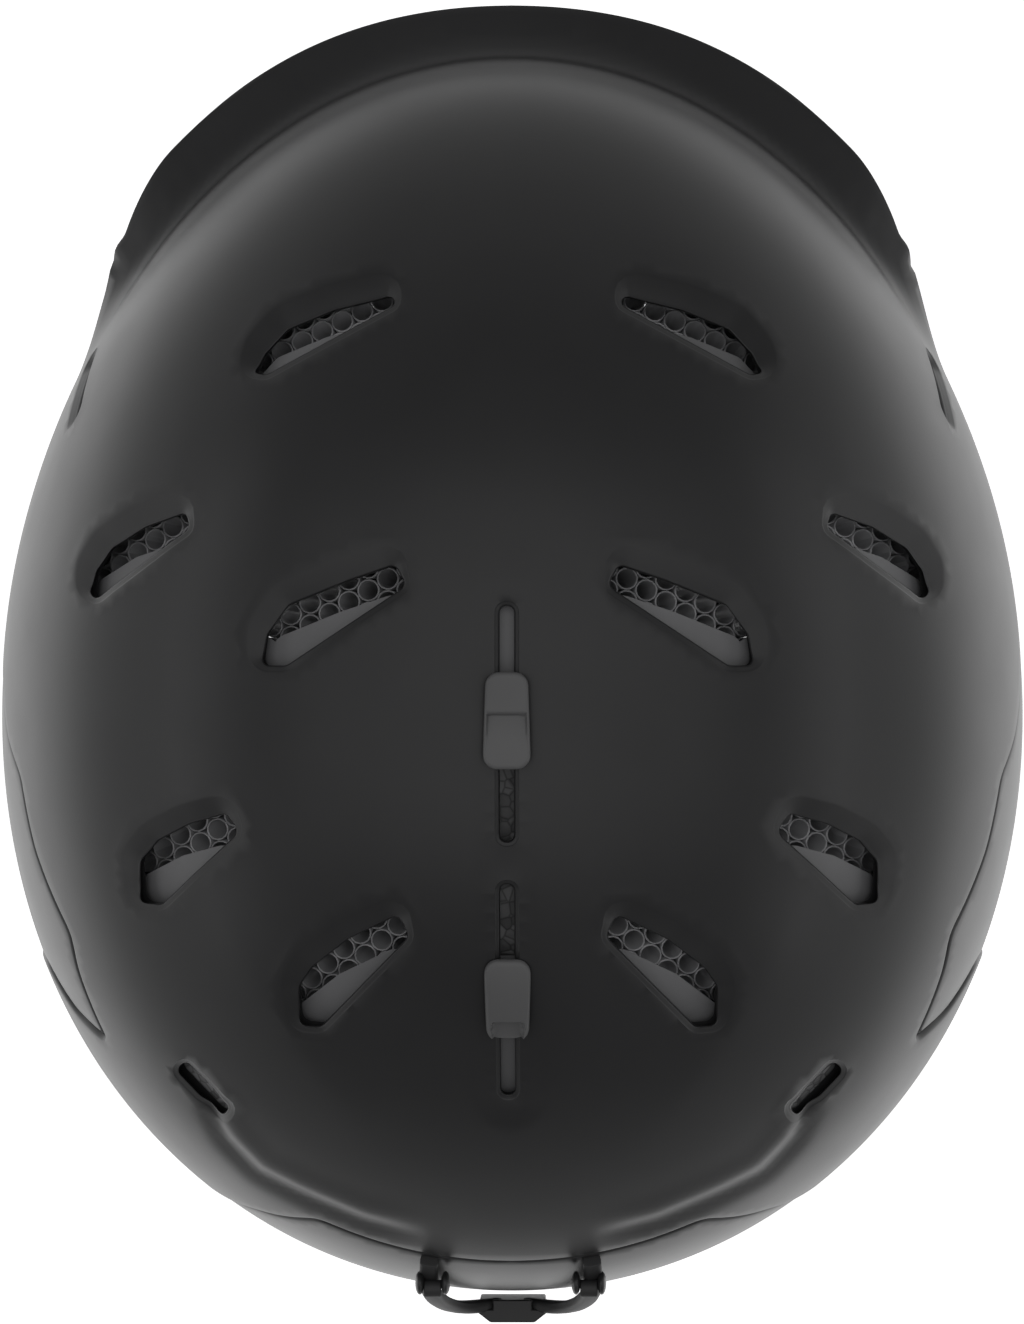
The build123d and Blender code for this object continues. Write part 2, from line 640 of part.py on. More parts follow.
# ---------------------------------------------------------------- strap legs and splitters
for side_name, side in SIDES.items():
    with BuildPart() as strap_legs:
        with BuildSketch(Plane.YZ.offset(min(side, 0) * REACH)):
            for anchor in LEG_ANCHORS.values():
                strip(SPLIT_POINT, anchor, STRAP_WIDTH)
            with Locations(LEG_WINDOW_MIDDLE):
                Rectangle(*LEG_WINDOW, mode=Mode.INTERSECT)
            with Locations(*LEG_ANCHORS.values()):
                Circle(RIVET_RADIUS, mode=Mode.SUBTRACT)
        extrude(amount=REACH)
        keep_layer(WEBBING)
    finish(strap_legs, f"strap_legs_{side_name}")

    with BuildPart() as anchor_plates:
        with BuildSketch(Plane.YZ.offset(min(side, 0) * REACH)):
            with Locations(*LEG_ANCHORS.values()):
                RectangleRounded(*ANCHOR_PLATE)
                Circle(RIVET_RADIUS, mode=Mode.SUBTRACT)
        extrude(amount=REACH)
        keep_layer(ANCHOR)
    finish(anchor_plates, f"strap_anchor_plates_{side_name}")

    with BuildPart() as rivet_shanks:
        for anchor in LEG_ANCHORS.values():
            with BuildSketch(Plane.YZ.offset(side * 50)) as shank:
                with Locations(anchor):
                    Circle(RIVET_RADIUS)
            extrude(shank.sketch, amount=side * 60)
        keep_layer((RIVET_DEPTH, ANCHOR[1]))

    with BuildPart() as rivets:
        for anchor in LEG_ANCHORS.values():
            with BuildSketch(Plane.YZ.offset(side * 50)) as head:
                with Locations(anchor):
                    Circle(RIVET_HEAD_RADIUS)
            extrude(head.sketch, amount=side * 60)
        keep_layer((ANCHOR[1], ANCHOR[1] + RIVET_HEAD_HEIGHT))
        add(rivet_shanks.part)
    finish(rivets, f"strap_anchor_rivets_{side_name}")

    with BuildPart() as leg_space:
        with BuildSketch(Plane.YZ.offset(min(side, 0) * REACH)):
            for anchor in LEG_ANCHORS.values():
                strip(SPLIT_POINT, anchor, STRAP_WIDTH + 0.4)
            with Locations(LEG_WINDOW_MIDDLE):
                Rectangle(LEG_WINDOW[0], LEG_WINDOW[1] + 1, mode=Mode.INTERSECT)
        extrude(amount=REACH)
        keep_layer((WEBBING[0] - 0.15, WEBBING[1] + 0.15))

    with BuildPart() as splitter:
        one_side(SPLITTER_OUTLINE, side, radius=4)
        with BuildSketch(Plane.YZ.offset(side * 50)) as bore:
            with Locations((SWING_Y, SWING_Z)):
                Circle(STUD_RADIUS)
        extrude(bore.sketch, amount=side * 60, mode=Mode.SUBTRACT)
        keep_layer(SPLITTER)
        add(leg_space.part, mode=Mode.SUBTRACT)
    finish(splitter, f"strap_splitter_{side_name}")

# ---------------------------------------------------------------- chin strap
heading = (Vector(*CHIN_CORNER) - Vector(*CHIN_BEND)).normalized()
buckle_middle = (Vector(*CHIN_CORNER) + Vector(*CHIN_BEND)) * 0.5
buckle_plane = Plane(
    origin=(buckle_middle.X, buckle_middle.Y, SWING_Z),
    x_dir=(heading.X, heading.Y, 0),
    z_dir=(-heading.Y, heading.X, 0),
)


def chin_route(side):
    """Plan of one half of the chin strap, from its pivot round to the middle of the chin."""
    return [
        (side * CHIN_START_X, SWING_Y + 8), (side * (CHIN_START_X - 0.4), SWING_Y - 12),
        (side * CHIN_BEND[0], CHIN_BEND[1]), (side * CHIN_CORNER[0], CHIN_CORNER[1]),
        (side * 26, CHIN_FRONT_Y + 4), (0, CHIN_FRONT_Y),
    ]


def chin_web(side, thickness, low, high):
    """Webbing on edge along one half of the route."""
    with BuildSketch(Plane.XY.offset(low)) as plan:
        with BuildLine() as run:
            FilletPolyline(*chin_route(side), radius=CHIN_FILLET)
        trace(run.line, line_width=thickness)
    extrude(plan.sketch, amount=high - low)


def past_buckle(start, mode):
    """Everything on the wearer's left from a distance along the buckle's line onwards."""
    with BuildSketch(buckle_plane.offset(-60)) as zone:
        with Locations((start + 100, 0)):
            Rectangle(200, 80)
    extrude(zone.sketch, amount=120, mode=mode)


def pivot_bore(side):
    """Hole for the stud that the chin strap swings on."""
    with BuildSketch(Plane.YZ.offset(side * 70)) as bore:
        with Locations((SWING_Y, SWING_Z)):
            Circle(STUD_RADIUS + 0.1)
    extrude(bore.sketch, amount=side * 20, mode=Mode.SUBTRACT)


with BuildPart() as chin_strap_left:
    chin_web(1, WEB_THICKNESS, *CHIN_BAND)
    past_buckle(-BUCKLE_HALF, Mode.SUBTRACT)
    pivot_bore(1)
finish(chin_strap_left, "chin_strap_left")

with BuildPart() as chin_strap_right:
    chin_web(1, WEB_THICKNESS, *CHIN_BAND)
    past_buckle(BUCKLE_HALF, Mode.INTERSECT)
    chin_web(-1, WEB_THICKNESS, *CHIN_BAND)
    pivot_bore(-1)
finish(chin_strap_right, "chin_strap_right")

with BuildPart() as pivot_studs:
    for side in SIDES.values():
        with BuildSketch(Plane.YZ.offset(side * STUD_HEAD_X)) as head:
            with Locations((SWING_Y, SWING_Z)):
                Circle(STUD_HEAD_RADIUS)
        extrude(head.sketch, amount=side * STUD_HEAD_HEIGHT)
        with BuildSketch(Plane.YZ.offset(side * (STUD_HEAD_X + STUD_HEAD_HEIGHT))) as shank:
            with Locations((SWING_Y, SWING_Z)):
                Circle(STUD_RADIUS)
        extrude(shank.sketch, amount=side * STUD_LENGTH)
finish(pivot_studs, "strap_pivot_studs")

with BuildPart() as buckle_socket:
    with BuildSketch(buckle_plane.offset(-BUCKLE_SOCKET[2] / 2)):
        with Locations((11, 0)):
            RectangleRounded(*BUCKLE_SOCKET[:2], 4)
    extrude(amount=BUCKLE_SOCKET[2])
    fillet(buckle_socket.edges().filter_by(Axis((0, 0, 0), tuple(heading))), 1.0)
    with BuildSketch(buckle_plane.offset(-BUCKLE_MOUTH[2] / 2)):
        with Locations((3, 0)):
            Rectangle(*BUCKLE_MOUTH[:2])
    extrude(amount=BUCKLE_MOUTH[2], mode=Mode.SUBTRACT)
    with BuildSketch(buckle_plane.offset(-1.0)):
        with Locations((22, 0)):
            Rectangle(9, 18.6)
    extrude(amount=2.0, mode=Mode.SUBTRACT)
    with BuildSketch(buckle_plane.offset(2.0)):
        with Locations((9, 0)):
            RectangleRounded(*TAB_WINDOW, 1.5)
    extrude(amount=6, mode=Mode.SUBTRACT)
finish(buckle_socket, "buckle_socket")

with BuildPart() as buckle_tongue:
    with BuildSketch(buckle_plane.offset(-BUCKLE_TONGUE[2] / 2)):
        with Locations((-15.5, 0)):
            RectangleRounded(*BUCKLE_TONGUE[:2], 3)
    extrude(amount=BUCKLE_TONGUE[2])
    with BuildSketch(buckle_plane.offset(-BUCKLE_PRONG[2] / 2)):
        with Locations((2, 0)):
            Rectangle(*BUCKLE_PRONG[:2])
            with Locations((3, 0)):
                Rectangle(9, 7, mode=Mode.SUBTRACT)
    extrude(amount=BUCKLE_PRONG[2])
    with BuildSketch(buckle_plane.offset(-1.0)):
        with Locations((-22.5, 0)):
            Rectangle(8, 18.6)
    extrude(amount=2.0, mode=Mode.SUBTRACT)
finish(buckle_tongue, "buckle_tongue")

with BuildPart() as release_tab:
    with BuildSketch(buckle_plane.offset(2.5)):
        with Locations((7, 0)):
            RectangleRounded(*TAB_SIZE, 1.4)
    extrude(amount=3.2)
    with BuildSketch(buckle_plane.offset(4.7)):
        with Locations((7, 0)):
            RectangleRounded(*TAB_SIZE, 1.4)
            with GridLocations(2.4, 1, 3, 1):
                Rectangle(0.9, 6, mode=Mode.SUBTRACT)
    extrude(amount=1.6)
finish(release_tab, "buckle_release_tab")

with BuildPart() as chin_pad:
    with BuildSketch():
        with BuildLine() as run:
            FilletPolyline((34, -81.5), (24.5, -88.2), (0, -92), (-24.5, -88.2), (-34, -81.5), radius=10)
        trace(run.line, line_width=5.4)
    extrude(amount=26)
finish(chin_pad, "chin_pad")

with BuildPart() as strap_keeper:
    keeper_spot = Plane(
        origin=(-buckle_middle.X, buckle_middle.Y, SWING_Z),
        x_dir=(-heading.X, heading.Y, 0),
        z_dir=(heading.Y, heading.X, 0),
    )
    with BuildSketch(keeper_spot.offset(-KEEPER_SIZE[2] / 2)):
        RectangleRounded(*KEEPER_SIZE[:2], 1.5)
    extrude(amount=KEEPER_SIZE[2])
    with BuildSketch(keeper_spot.offset(-WEB_THICKNESS / 2 - 0.15)):
        Rectangle(12, 18.8)
    extrude(amount=WEB_THICKNESS + 0.3, mode=Mode.SUBTRACT)
finish(strap_keeper, "strap_keeper")

# ---------------------------------------------------------------- goggle strap retainer
with BuildPart() as retainer_bases:
    for side in SIDES.values():
        with BuildSketch(Plane.XZ.offset(-REACH)):
            with Locations((side * RETAINER_X, RETAINER_Z)):
                RectangleRounded(13.6, 12, 2.5)
        extrude(amount=60)
    keep_layer((-RETAINER_PLATE, 0.0))
    for side in SIDES.values():
        for lug_x in (side * (RETAINER_X - 4.8), side * (RETAINER_X + 4.8)):
            with BuildSketch(Plane.YZ.offset(lug_x - 1)) as lug:
                with Locations((RETAINER_Y, RETAINER_Z)):
                    Circle(EYELET_RADIUS)
                with Locations((RETAINER_Y - 2.4, RETAINER_Z)):
                    Rectangle(4.8, 2 * EYELET_RADIUS)
                with Locations((RETAINER_Y, RETAINER_Z)):
                    Circle(RETAINER_PIN_RADIUS, mode=Mode.SUBTRACT)
            extrude(lug.sketch, amount=2)
    add(core(0.0), mode=Mode.SUBTRACT)
finish(retainer_bases, "retainer_bases")

with BuildPart() as retainer_pins:
    for side in SIDES.values():
        with BuildSketch(Plane.YZ.offset(side * RETAINER_X - 6)) as pin:
            with Locations((RETAINER_Y, RETAINER_Z)):
                Circle(RETAINER_PIN_RADIUS)
        extrude(pin.sketch, amount=12)
finish(retainer_pins, "retainer_pins")

with BuildPart() as retainer_strap:
    for side in SIDES.values():
        with BuildSketch(Plane.XZ.offset(-REACH)):
            with BuildLine():
                Polyline(
                    (side * (RETAINER_X - 3), RETAINER_Z + 1), (side * (RETAINER_X + 3), RETAINER_Z + 1),
                    (side * (RETAINER_X + 2), RETAINER_Z - 20), (side * 9, CLIP_Z[1] - 4),
                    (side * 9, CLIP_Z[0] + 6), (side * 3, CLIP_Z[0] + 6), (side * 3, CLIP_Z[1]),
                    (side * (RETAINER_X - 4), RETAINER_Z - 20), close=True,
                )
            make_face()
        extrude(amount=60)
    with BuildSketch(Plane.XZ.offset(-REACH)):
        with Locations((0, CLIP_Z[0] + 8)):
            Rectangle(12, 4)
    extrude(amount=60)
    keep_layer((-4.7, -1.9))
    for side in SIDES.values():
        with BuildSketch(Plane.YZ.offset(side * RETAINER_X - 2.9)) as eyelet:
            with Locations((RETAINER_Y, RETAINER_Z)):
                Circle(EYELET_RADIUS - 0.2)
        extrude(eyelet.sketch, amount=5.8)
        with BuildSketch(Plane.YZ.offset(side * RETAINER_X - 8)) as bore:
            with Locations((RETAINER_Y, RETAINER_Z)):
                Circle(RETAINER_PIN_RADIUS + 0.1)
        extrude(bore.sketch, amount=16, mode=Mode.SUBTRACT)
finish(retainer_strap, "retainer_strap")

with BuildPart() as retainer_clip:
    with BuildSketch(Plane.XZ.offset(-CLIP_FACE_Y)):
        with Locations((0, sum(CLIP_Z) / 2)):
            RectangleRounded(CLIP_WIDTH, CLIP_Z[1] - CLIP_Z[0], 3)
    extrude(amount=12)
    chamfer(retainer_clip.faces().sort_by(Axis.Y)[-1].edges(), 1.4)
    with BuildSketch(Plane.XZ.offset(-CLIP_FACE_Y)):
        with Locations((0, sum(CLIP_Z) / 2)):
            RectangleRounded(5, 12, 1.5)
    extrude(amount=1.0, mode=Mode.SUBTRACT)
    add(core(-1.2), mode=Mode.SUBTRACT)
    add(retainer_strap.part, mode=Mode.SUBTRACT)
finish(retainer_clip, "retainer_clip")

# ---------------------------------------------------------------- fit system
tilt_sine, tilt_cosine = sin(radians(RING_TILT)), cos(radians(RING_TILT))
ring = Plane(origin=RING_CENTRE, x_dir=(1, 0, 0), z_dir=(0, tilt_sine, tilt_cosine))
dial_plane = Plane(origin=RING_CENTRE, x_dir=(1, 0, 0), z_dir=(0, tilt_cosine, -tilt_sine))


def ring_arc(radii, start, end, low, high, mode=Mode.ADD):
    """A piece of the fit ring: between two radii, two angles and two heights on its axis."""
    inner, outer = radii
    first, last = radians(start), radians(end)
    half = (first + last) / 2

    def spot(radius, angle):
        return (radius * cos(angle), radius * sin(angle))

    with BuildSketch(ring.offset(low)) as section:
        with BuildLine():
            ThreePointArc(spot(outer, first), spot(outer, half), spot(outer, last))
            Line(spot(outer, last), spot(inner, last))
            ThreePointArc(spot(inner, last), spot(inner, half), spot(inner, first))
            Line(spot(inner, first), spot(outer, first))
        make_face()
    extrude(section.sketch, amount=high - low, mode=mode)


for side_name, side in SIDES.items():
    with BuildPart() as fit_band:
        spans = [(BAND_START, BAND_FULL_END, -BAND_HALF_HEIGHT, BAND_HALF_HEIGHT)]
        tongue = (TONGUE_LOW, BAND_HALF_HEIGHT) if side > 0 else (-BAND_HALF_HEIGHT, -TONGUE_LOW)
        spans.append((BAND_FULL_END - 0.5, TONGUE_END, *tongue))
        for start, end, low, high in spans:
            if side > 0:
                ring_arc(BAND_RADII, start, end, low, high)
            else:
                ring_arc(BAND_RADII, 180 - end, 180 - start, low, high)
    finish(fit_band, f"fit_band_{side_name}")

with BuildPart() as fit_cradle:
    cradle_ends = (90 - CRADLE_SPAN, 90 + CRADLE_SPAN)
    ring_arc(CRADLE_INNER, *cradle_ends, -CRADLE_HALF_HEIGHT, CRADLE_HALF_HEIGHT)
    for low in (-CRADLE_HALF_HEIGHT, CRADLE_HALF_HEIGHT - CRADLE_RAIL):
        ring_arc((CRADLE_INNER[1] - 0.1, CRADLE_OUTER[0]), *cradle_ends, low, low + CRADLE_RAIL)
    with Locations((0, 102.25, 50.5)):
        Box(8.8, 3.5, 35)
    with Locations((0, 105.1, 54)):
        Box(13.6, 2.2, 28)
    with BuildSketch(dial_plane):
        Circle(1.6)
    extrude(amount=90, mode=Mode.SUBTRACT)
finish(fit_cradle, "fit_cradle")

with BuildPart() as dial_cover:
    ring_arc(CRADLE_OUTER, *cradle_ends, -CRADLE_HALF_HEIGHT, CRADLE_HALF_HEIGHT)
    with BuildSketch(dial_plane.offset(70)):
        Circle(2.4)
    extrude(amount=20, mode=Mode.SUBTRACT)
finish(dial_cover, "dial_cover")

with BuildPart() as dial_pinion:
    with BuildSketch(dial_plane.offset(BAND_RADII[0] - 0.1)):
        Circle(PINION_RADIUS - 0.9)
        with PolarLocations(PINION_RADIUS - 0.7, 10):
            Circle(0.55)
    extrude(amount=1.5)
    with BuildSketch(dial_plane.offset(CRADLE_INNER[0])):
        Circle(SHAFT_RADIUS)
    extrude(amount=DIAL_REACH[0] - CRADLE_INNER[0] + 3)
finish(dial_pinion, "dial_pinion")

with BuildPart() as fit_dial:
    with BuildSketch(dial_plane.offset(DIAL_REACH[0])):
        Circle(DIAL_RADIUS - 0.8)
        with PolarLocations(DIAL_RADIUS - 0.8, DIAL_RIBS):
            Circle(0.8)
    extrude(amount=DIAL_REACH[1] - DIAL_REACH[0])
    fillet(fit_dial.faces().sort_by(Axis(dial_plane.origin, dial_plane.z_dir))[-1].edges(), 0.3)
    with BuildSketch(dial_plane.offset(DIAL_REACH[0] - 1)):
        Circle(SHAFT_RADIUS)
    extrude(amount=4, mode=Mode.SUBTRACT)
    with BuildSketch(dial_plane.offset(DIAL_REACH[1] - CAP_DEPTH)):
        Circle(CAP_RADIUS)
    extrude(amount=3, mode=Mode.SUBTRACT)
finish(fit_dial, "fit_dial")

with BuildPart() as dial_cap:
    with BuildSketch(dial_plane.offset(DIAL_REACH[1] - CAP_DEPTH)):
        Circle(CAP_RADIUS)
    extrude(amount=CAP_DEPTH)
finish(dial_cap, "dial_cap")

for side_name, side in SIDES.items():
    with BuildPart() as nape_pad:
        start = 90 - CRADLE_SPAN + 1
        if side < 0:
            start = 180 - start - NAPE_PAD_SPAN
        radii = (CRADLE_INNER[0] - NAPE_PAD_THICKNESS, CRADLE_INNER[0])
        ring_arc(radii, start, start + NAPE_PAD_SPAN, -NAPE_PAD_HALF_HEIGHT, NAPE_PAD_HALF_HEIGHT)
    finish(nape_pad, f"nape_pad_{side_name}")

with BuildPart() as cradle_rail:
    with Locations((0, 114, 59)):
        Box(18, 14.8, 38)
    with Locations((0, 105, 59)):
        Box(14.4, 3.2, 40, mode=Mode.SUBTRACT)
    for side in SIDES.values():
        with Locations((side * 8.1, 104.6, 59)):
            Box(1.8, 4.0, 38)
        with Locations((side * 7.05, 103.0, 59)):
            Box(3.9, 1.2, 38)
    add(core(LINER_INNER), mode=Mode.INTERSECT)
finish(cradle_rail, "cradle_rail")
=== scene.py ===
import json
from math import cos, pi, radians, sin, tan

import bmesh
import bpy
import numpy as np
from mathutils import Matrix, Vector
from mathutils.geometry import delaunay_2d_cdt


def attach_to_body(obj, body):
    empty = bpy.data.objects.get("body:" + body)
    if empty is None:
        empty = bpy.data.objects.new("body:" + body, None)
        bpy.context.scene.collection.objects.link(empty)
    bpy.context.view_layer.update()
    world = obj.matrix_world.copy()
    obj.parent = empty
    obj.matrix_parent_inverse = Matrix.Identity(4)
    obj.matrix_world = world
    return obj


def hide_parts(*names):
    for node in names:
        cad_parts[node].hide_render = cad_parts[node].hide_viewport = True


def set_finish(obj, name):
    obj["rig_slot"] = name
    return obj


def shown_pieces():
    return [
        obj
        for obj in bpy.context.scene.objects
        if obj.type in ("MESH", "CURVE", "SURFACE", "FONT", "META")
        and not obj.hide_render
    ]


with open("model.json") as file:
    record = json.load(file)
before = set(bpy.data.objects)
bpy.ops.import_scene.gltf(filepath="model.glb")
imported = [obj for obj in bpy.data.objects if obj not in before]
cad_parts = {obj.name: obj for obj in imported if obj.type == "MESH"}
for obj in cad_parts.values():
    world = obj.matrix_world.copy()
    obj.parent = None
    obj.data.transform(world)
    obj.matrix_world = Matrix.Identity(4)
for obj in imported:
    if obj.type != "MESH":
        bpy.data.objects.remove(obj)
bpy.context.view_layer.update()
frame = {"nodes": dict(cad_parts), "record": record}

MM = 0.001

# ------------------------------------------------------------------ the dome, in millimetres
HALF_WIDTH, HALF_LENGTH = 113.0, 137.0
DOME_Y, DOME_Z = 1.5, 81.0
WIDENING, TUCK = 0.07, 0.06
SHELL = 2.6
BRIM_TIP_Z, BRIM_FALL, BRIM_RISE, BRIM_END = 98.0, 6.0, 12.0, 48.7
BRIM_MIDDLE_REACH, BRIM_CORNER_REACH, BRIM_CORNER_ANGLE = 0.088, 0.025, 34
BRIM_TAPER_START, BRIM_TAPER = 40, 22


def smooth(x):
    x = np.clip(x, 0.0, 1.0)
    return x * x * (3 - 2 * x)


def dome_share(z):
    """Plan radius of the dome at a height, as a share of its largest."""
    up = np.clip((z - DOME_Z) / HALF_LENGTH, 0, 1)
    low = np.clip((DOME_Z - z) / DOME_Z, 0, None)
    return np.where(z > DOME_Z, np.sqrt(1 - up**2), 1 - TUCK * low**2)


def chart(across, along, z):
    """Flat map of the dome: shares of the plan radius and a height to map millimetres."""
    across, along, z = (np.asarray(v, float) for v in (across, along, z))
    up = np.clip((z - DOME_Z) / HALF_LENGTH, -1, 1)
    tilt = np.where(z > DOME_Z, np.arccos(np.clip(up, 0, 1)), pi / 2 + (DOME_Z - z) / HALF_LENGTH)
    length = np.maximum(np.hypot(across, along), 1e-9)
    return np.stack([tilt * across / length * HALF_WIDTH, tilt * along / length * HALF_LENGTH], -1)


def from_plan(points):
    """Map points under plan positions (x, y) on the top of the dome."""
    points = np.asarray(points, float)
    along = (points[..., 1] - DOME_Y) / HALF_LENGTH
    across = points[..., 0] / (HALF_WIDTH * (1 + WIDENING * along))
    up = np.sqrt(np.clip(1 - across**2 - along**2, 0, 1))
    return chart(across, along, DOME_Z + HALF_LENGTH * up)


def from_side(points, side=1):
    """Map points for side view positions (y, z)."""
    points = np.asarray(points, float)
    along = (points[..., 0] - DOME_Y) / HALF_LENGTH
    across = np.sqrt(np.clip(dome_share(points[..., 1]) ** 2 - along**2, 0, 1))
    return chart(side * across, along, points[..., 1])


def from_rear(points):
    """Map points for rear view positions (x, z)."""
    points = np.asarray(points, float)
    share = dome_share(points[..., 1])
    along = share.copy()
    for _ in range(4):
        across = points[..., 0] / (HALF_WIDTH * (1 + WIDENING * along))
        along = np.sqrt(np.clip(share**2 - across**2, 0, 1))
    return chart(across, along, points[..., 1])


def brim_reach(angle):
    """How far the brim reaches at an angle from the front, as a share of the dome."""
    reach = BRIM_MIDDLE_REACH + BRIM_CORNER_REACH * smooth(angle / BRIM_CORNER_ANGLE)
    return reach * (1 - smooth((angle - BRIM_TAPER_START) / BRIM_TAPER))


def brim_tip(angle):
    return BRIM_TIP_Z - BRIM_FALL * smooth(angle / 60)


def unroll(spots):
    """Shares of the plan radius and height at map points."""
    tilt = np.maximum(np.hypot(spots[:, 0] / HALF_WIDTH, spots[:, 1] / HALF_LENGTH), 1e-9)
    z = np.where(tilt < pi / 2, DOME_Z + HALF_LENGTH * np.cos(tilt), DOME_Z - HALF_LENGTH * (tilt - pi / 2))
    share = dome_share(z)
    return share * spots[:, 0] / HALF_WIDTH / tilt, share * spots[:, 1] / HALF_LENGTH / tilt, z


def place(across, along, z):
    return np.stack([HALF_WIDTH * across * (1 + WIDENING * along), DOME_Y + HALF_LENGTH * along, z], -1)


def dome(spots):
    """Points on the dome and outward normals at map points."""
    across, along, z = unroll(spots)
    low = np.clip((DOME_Z - z) / DOME_Z, 0, None)
    rise = np.where(z > DOME_Z, (z - DOME_Z) / HALF_LENGTH**2, -dome_share(z) * 2 * TUCK * low / DOME_Z)
    normal = np.stack([across / HALF_WIDTH, along / HALF_LENGTH, rise], -1)
    return place(across, along, z), normal / np.linalg.norm(normal, axis=1)[:, None]


def flare(spots):
    """How far the brim carries the surface out of the dome, as a vector."""
    across, along, z = unroll(spots)
    angle = np.degrees(np.arctan2(np.abs(across), -along))
    drop = (brim_tip(angle) + BRIM_RISE - z) / BRIM_RISE
    curve = np.where(drop < 1, np.clip(drop, 0, 1) ** 2, 1 - smooth((drop - 1) / 0.9))
    share = np.hypot(across, along)
    grow = 1 + brim_reach(angle) * curve / np.maximum(share, 1e-6)
    return place(across * grow, along * grow, z) - place(across, along, z)


# ------------------------------------------------------------------ surface relief
def near_line(points, line, closed=False):
    """Signed distance to a polyline and share of the way along it, in plan."""
    line = np.asarray(line, float)
    if closed:
        line = np.vstack([line, line[:1]])
    best = np.full(len(points), 1e9)
    sign = np.ones(len(points))
    way = np.zeros(len(points))
    lengths = np.linalg.norm(np.diff(line, axis=0), axis=1)
    total, run = lengths.sum(), 0.0
    for start, end, length in zip(line[:-1], line[1:], lengths):
        step = (end - start) / length
        reach = points - start
        t = np.clip(reach @ step, 0, length)
        gap = reach - t[:, None] * step
        distance = np.linalg.norm(gap, axis=1)
        closer = distance < best
        best = np.where(closer, distance, best)
        sign = np.where(closer, np.sign(step[0] * reach[:, 1] - step[1] * reach[:, 0]), sign)
        way = np.where(closer, (run + t) / total, way)
        run += length
    return best * sign, way


CHANNEL_HALF, CHANNEL_ENDS, CHANNEL_DEPTH = 5.6, (-16.0, 97.0), 0.9
CREASE_HEIGHT, CREASE_WIDTH = 0.55, 9.0
REAR_GROOVE = [(66.5, 92), (62, 102.5), (55, 110), (46, 114.5), (32, 120.5), (14, 124.5)]
SIDE_CREASE = [(67.5, -66), (70.5, -40), (73, 8), (67, 40), (56.5, 62), (40, 88), (22.8, 110)]


def relief(points, spots):
    """Height of the moulded relief over the plain dome, in millimetres."""
    x, y, z = np.abs(points[:, 0]), points[:, 1], points[:, 2]
    top = z > 120
    middle = (CHANNEL_ENDS[0] + CHANNEL_ENDS[1]) / 2
    half = (CHANNEL_ENDS[1] - CHANNEL_ENDS[0]) / 2 - CHANNEL_HALF
    away = np.hypot(x, np.clip(np.abs(y - middle) - half, 0, None)) - CHANNEL_HALF
    height = np.where(top, -CHANNEL_DEPTH * (1 - smooth((away + 0.9) / 1.8)), 0.0)
    plan = np.stack([x, y], -1)
    off, way = near_line(plan, REAR_GROOVE)
    fade = smooth(way / 0.06) * (1 - smooth((way - 0.72) / 0.28))
    upper = (z > 118) & (y > 60)
    height += np.where(upper, -1.0 * np.exp(-((off / 1.7) ** 2)) * fade, 0)
    height += np.where(upper, 0.5 * np.exp(-(((off - 3.6) / 2.2) ** 2)) * fade, 0)
    across, along, _ = unroll(spots)
    angle = np.degrees(np.arctan2(np.abs(across), -along))
    over_root = z - (brim_tip(angle) + BRIM_RISE)
    ridge = 0.9 * np.exp(-(((over_root - 3.0) / 4.5) ** 2)) * (1 - smooth((angle - 40) / 18))
    height += ridge
    off, way = near_line(plan, SIDE_CREASE)
    fade = smooth(way / 0.15) * (1 - smooth((way - 0.8) / 0.2))
    height += np.where(z > 110, CREASE_HEIGHT * np.exp(-np.sqrt(off**2 + 2.0) / CREASE_WIDTH) * fade, 0)
    return height


def lower_relief(points, spots):
    """The lower shell lies a little inside the upper one."""
    return np.full(len(points), -0.5)


# ------------------------------------------------------------------ outlines
CUT_SHARE = 0.45


def corner_cut(before, corner, after, radius):
    """Directions away from a corner, half its angle, and where its rounding starts along them."""
    back, on = before - corner, after - corner
    back_length, on_length = np.linalg.norm(back), np.linalg.norm(on)
    back, on = back / back_length, on / on_length
    half = np.arccos(np.clip(back @ on, -1, 1)) / 2
    return back, on, half, min(radius / tan(half), CUT_SHARE * back_length, CUT_SHARE * on_length)


def rounded(points, radius, step):
    """A closed polygon with its corners rounded, as evenly spaced points."""
    points = [np.asarray(p, float) for p in points]
    path = []
    for before, corner, after in zip(points[-1:] + points[:-1], points, points[1:] + points[:1]):
        back, on, half, cut = corner_cut(before, corner, after, radius)
        centre = corner + (back + on) / np.linalg.norm(back + on) * cut / cos(half)
        start, end = corner + back * cut - centre, corner + on * cut - centre
        turn = np.arctan2(start[0] * end[1] - start[1] * end[0], start @ end)
        for share in np.linspace(0, 1, 7):
            c, s = np.cos(turn * share), np.sin(turn * share)
            path.append(centre + np.array([c * start[0] - s * start[1], s * start[0] + c * start[1]]))
    return even(np.array(path), step, closed=True)


def even(path, step, closed=False):
    """Evenly spaced points along a path."""
    path = np.asarray(path, float)
    if closed:
        path = np.vstack([path, path[:1]])
    lengths = np.linalg.norm(np.diff(path, axis=0), axis=1)
    ways = np.concatenate([[0], np.cumsum(lengths)])
    count = max(3, int(round(ways[-1] / step)))
    wanted = np.linspace(0, ways[-1], count + 1)
    points = np.stack([np.interp(wanted, ways, path[:, axis]) for axis in (0, 1)], -1)
    return points[:-1] if closed else points


def soften(path, rounds, closed=False):
    """Round off the corners of an evenly spaced path."""
    for _ in range(rounds):
        if closed:
            path = (np.roll(path, 1, 0) + 2 * path + np.roll(path, -1, 0)) / 4
        else:
            path = np.vstack([path[:1], (path[:-2] + 2 * path[1:-1] + path[2:]) / 4, path[-1:]])
    return path


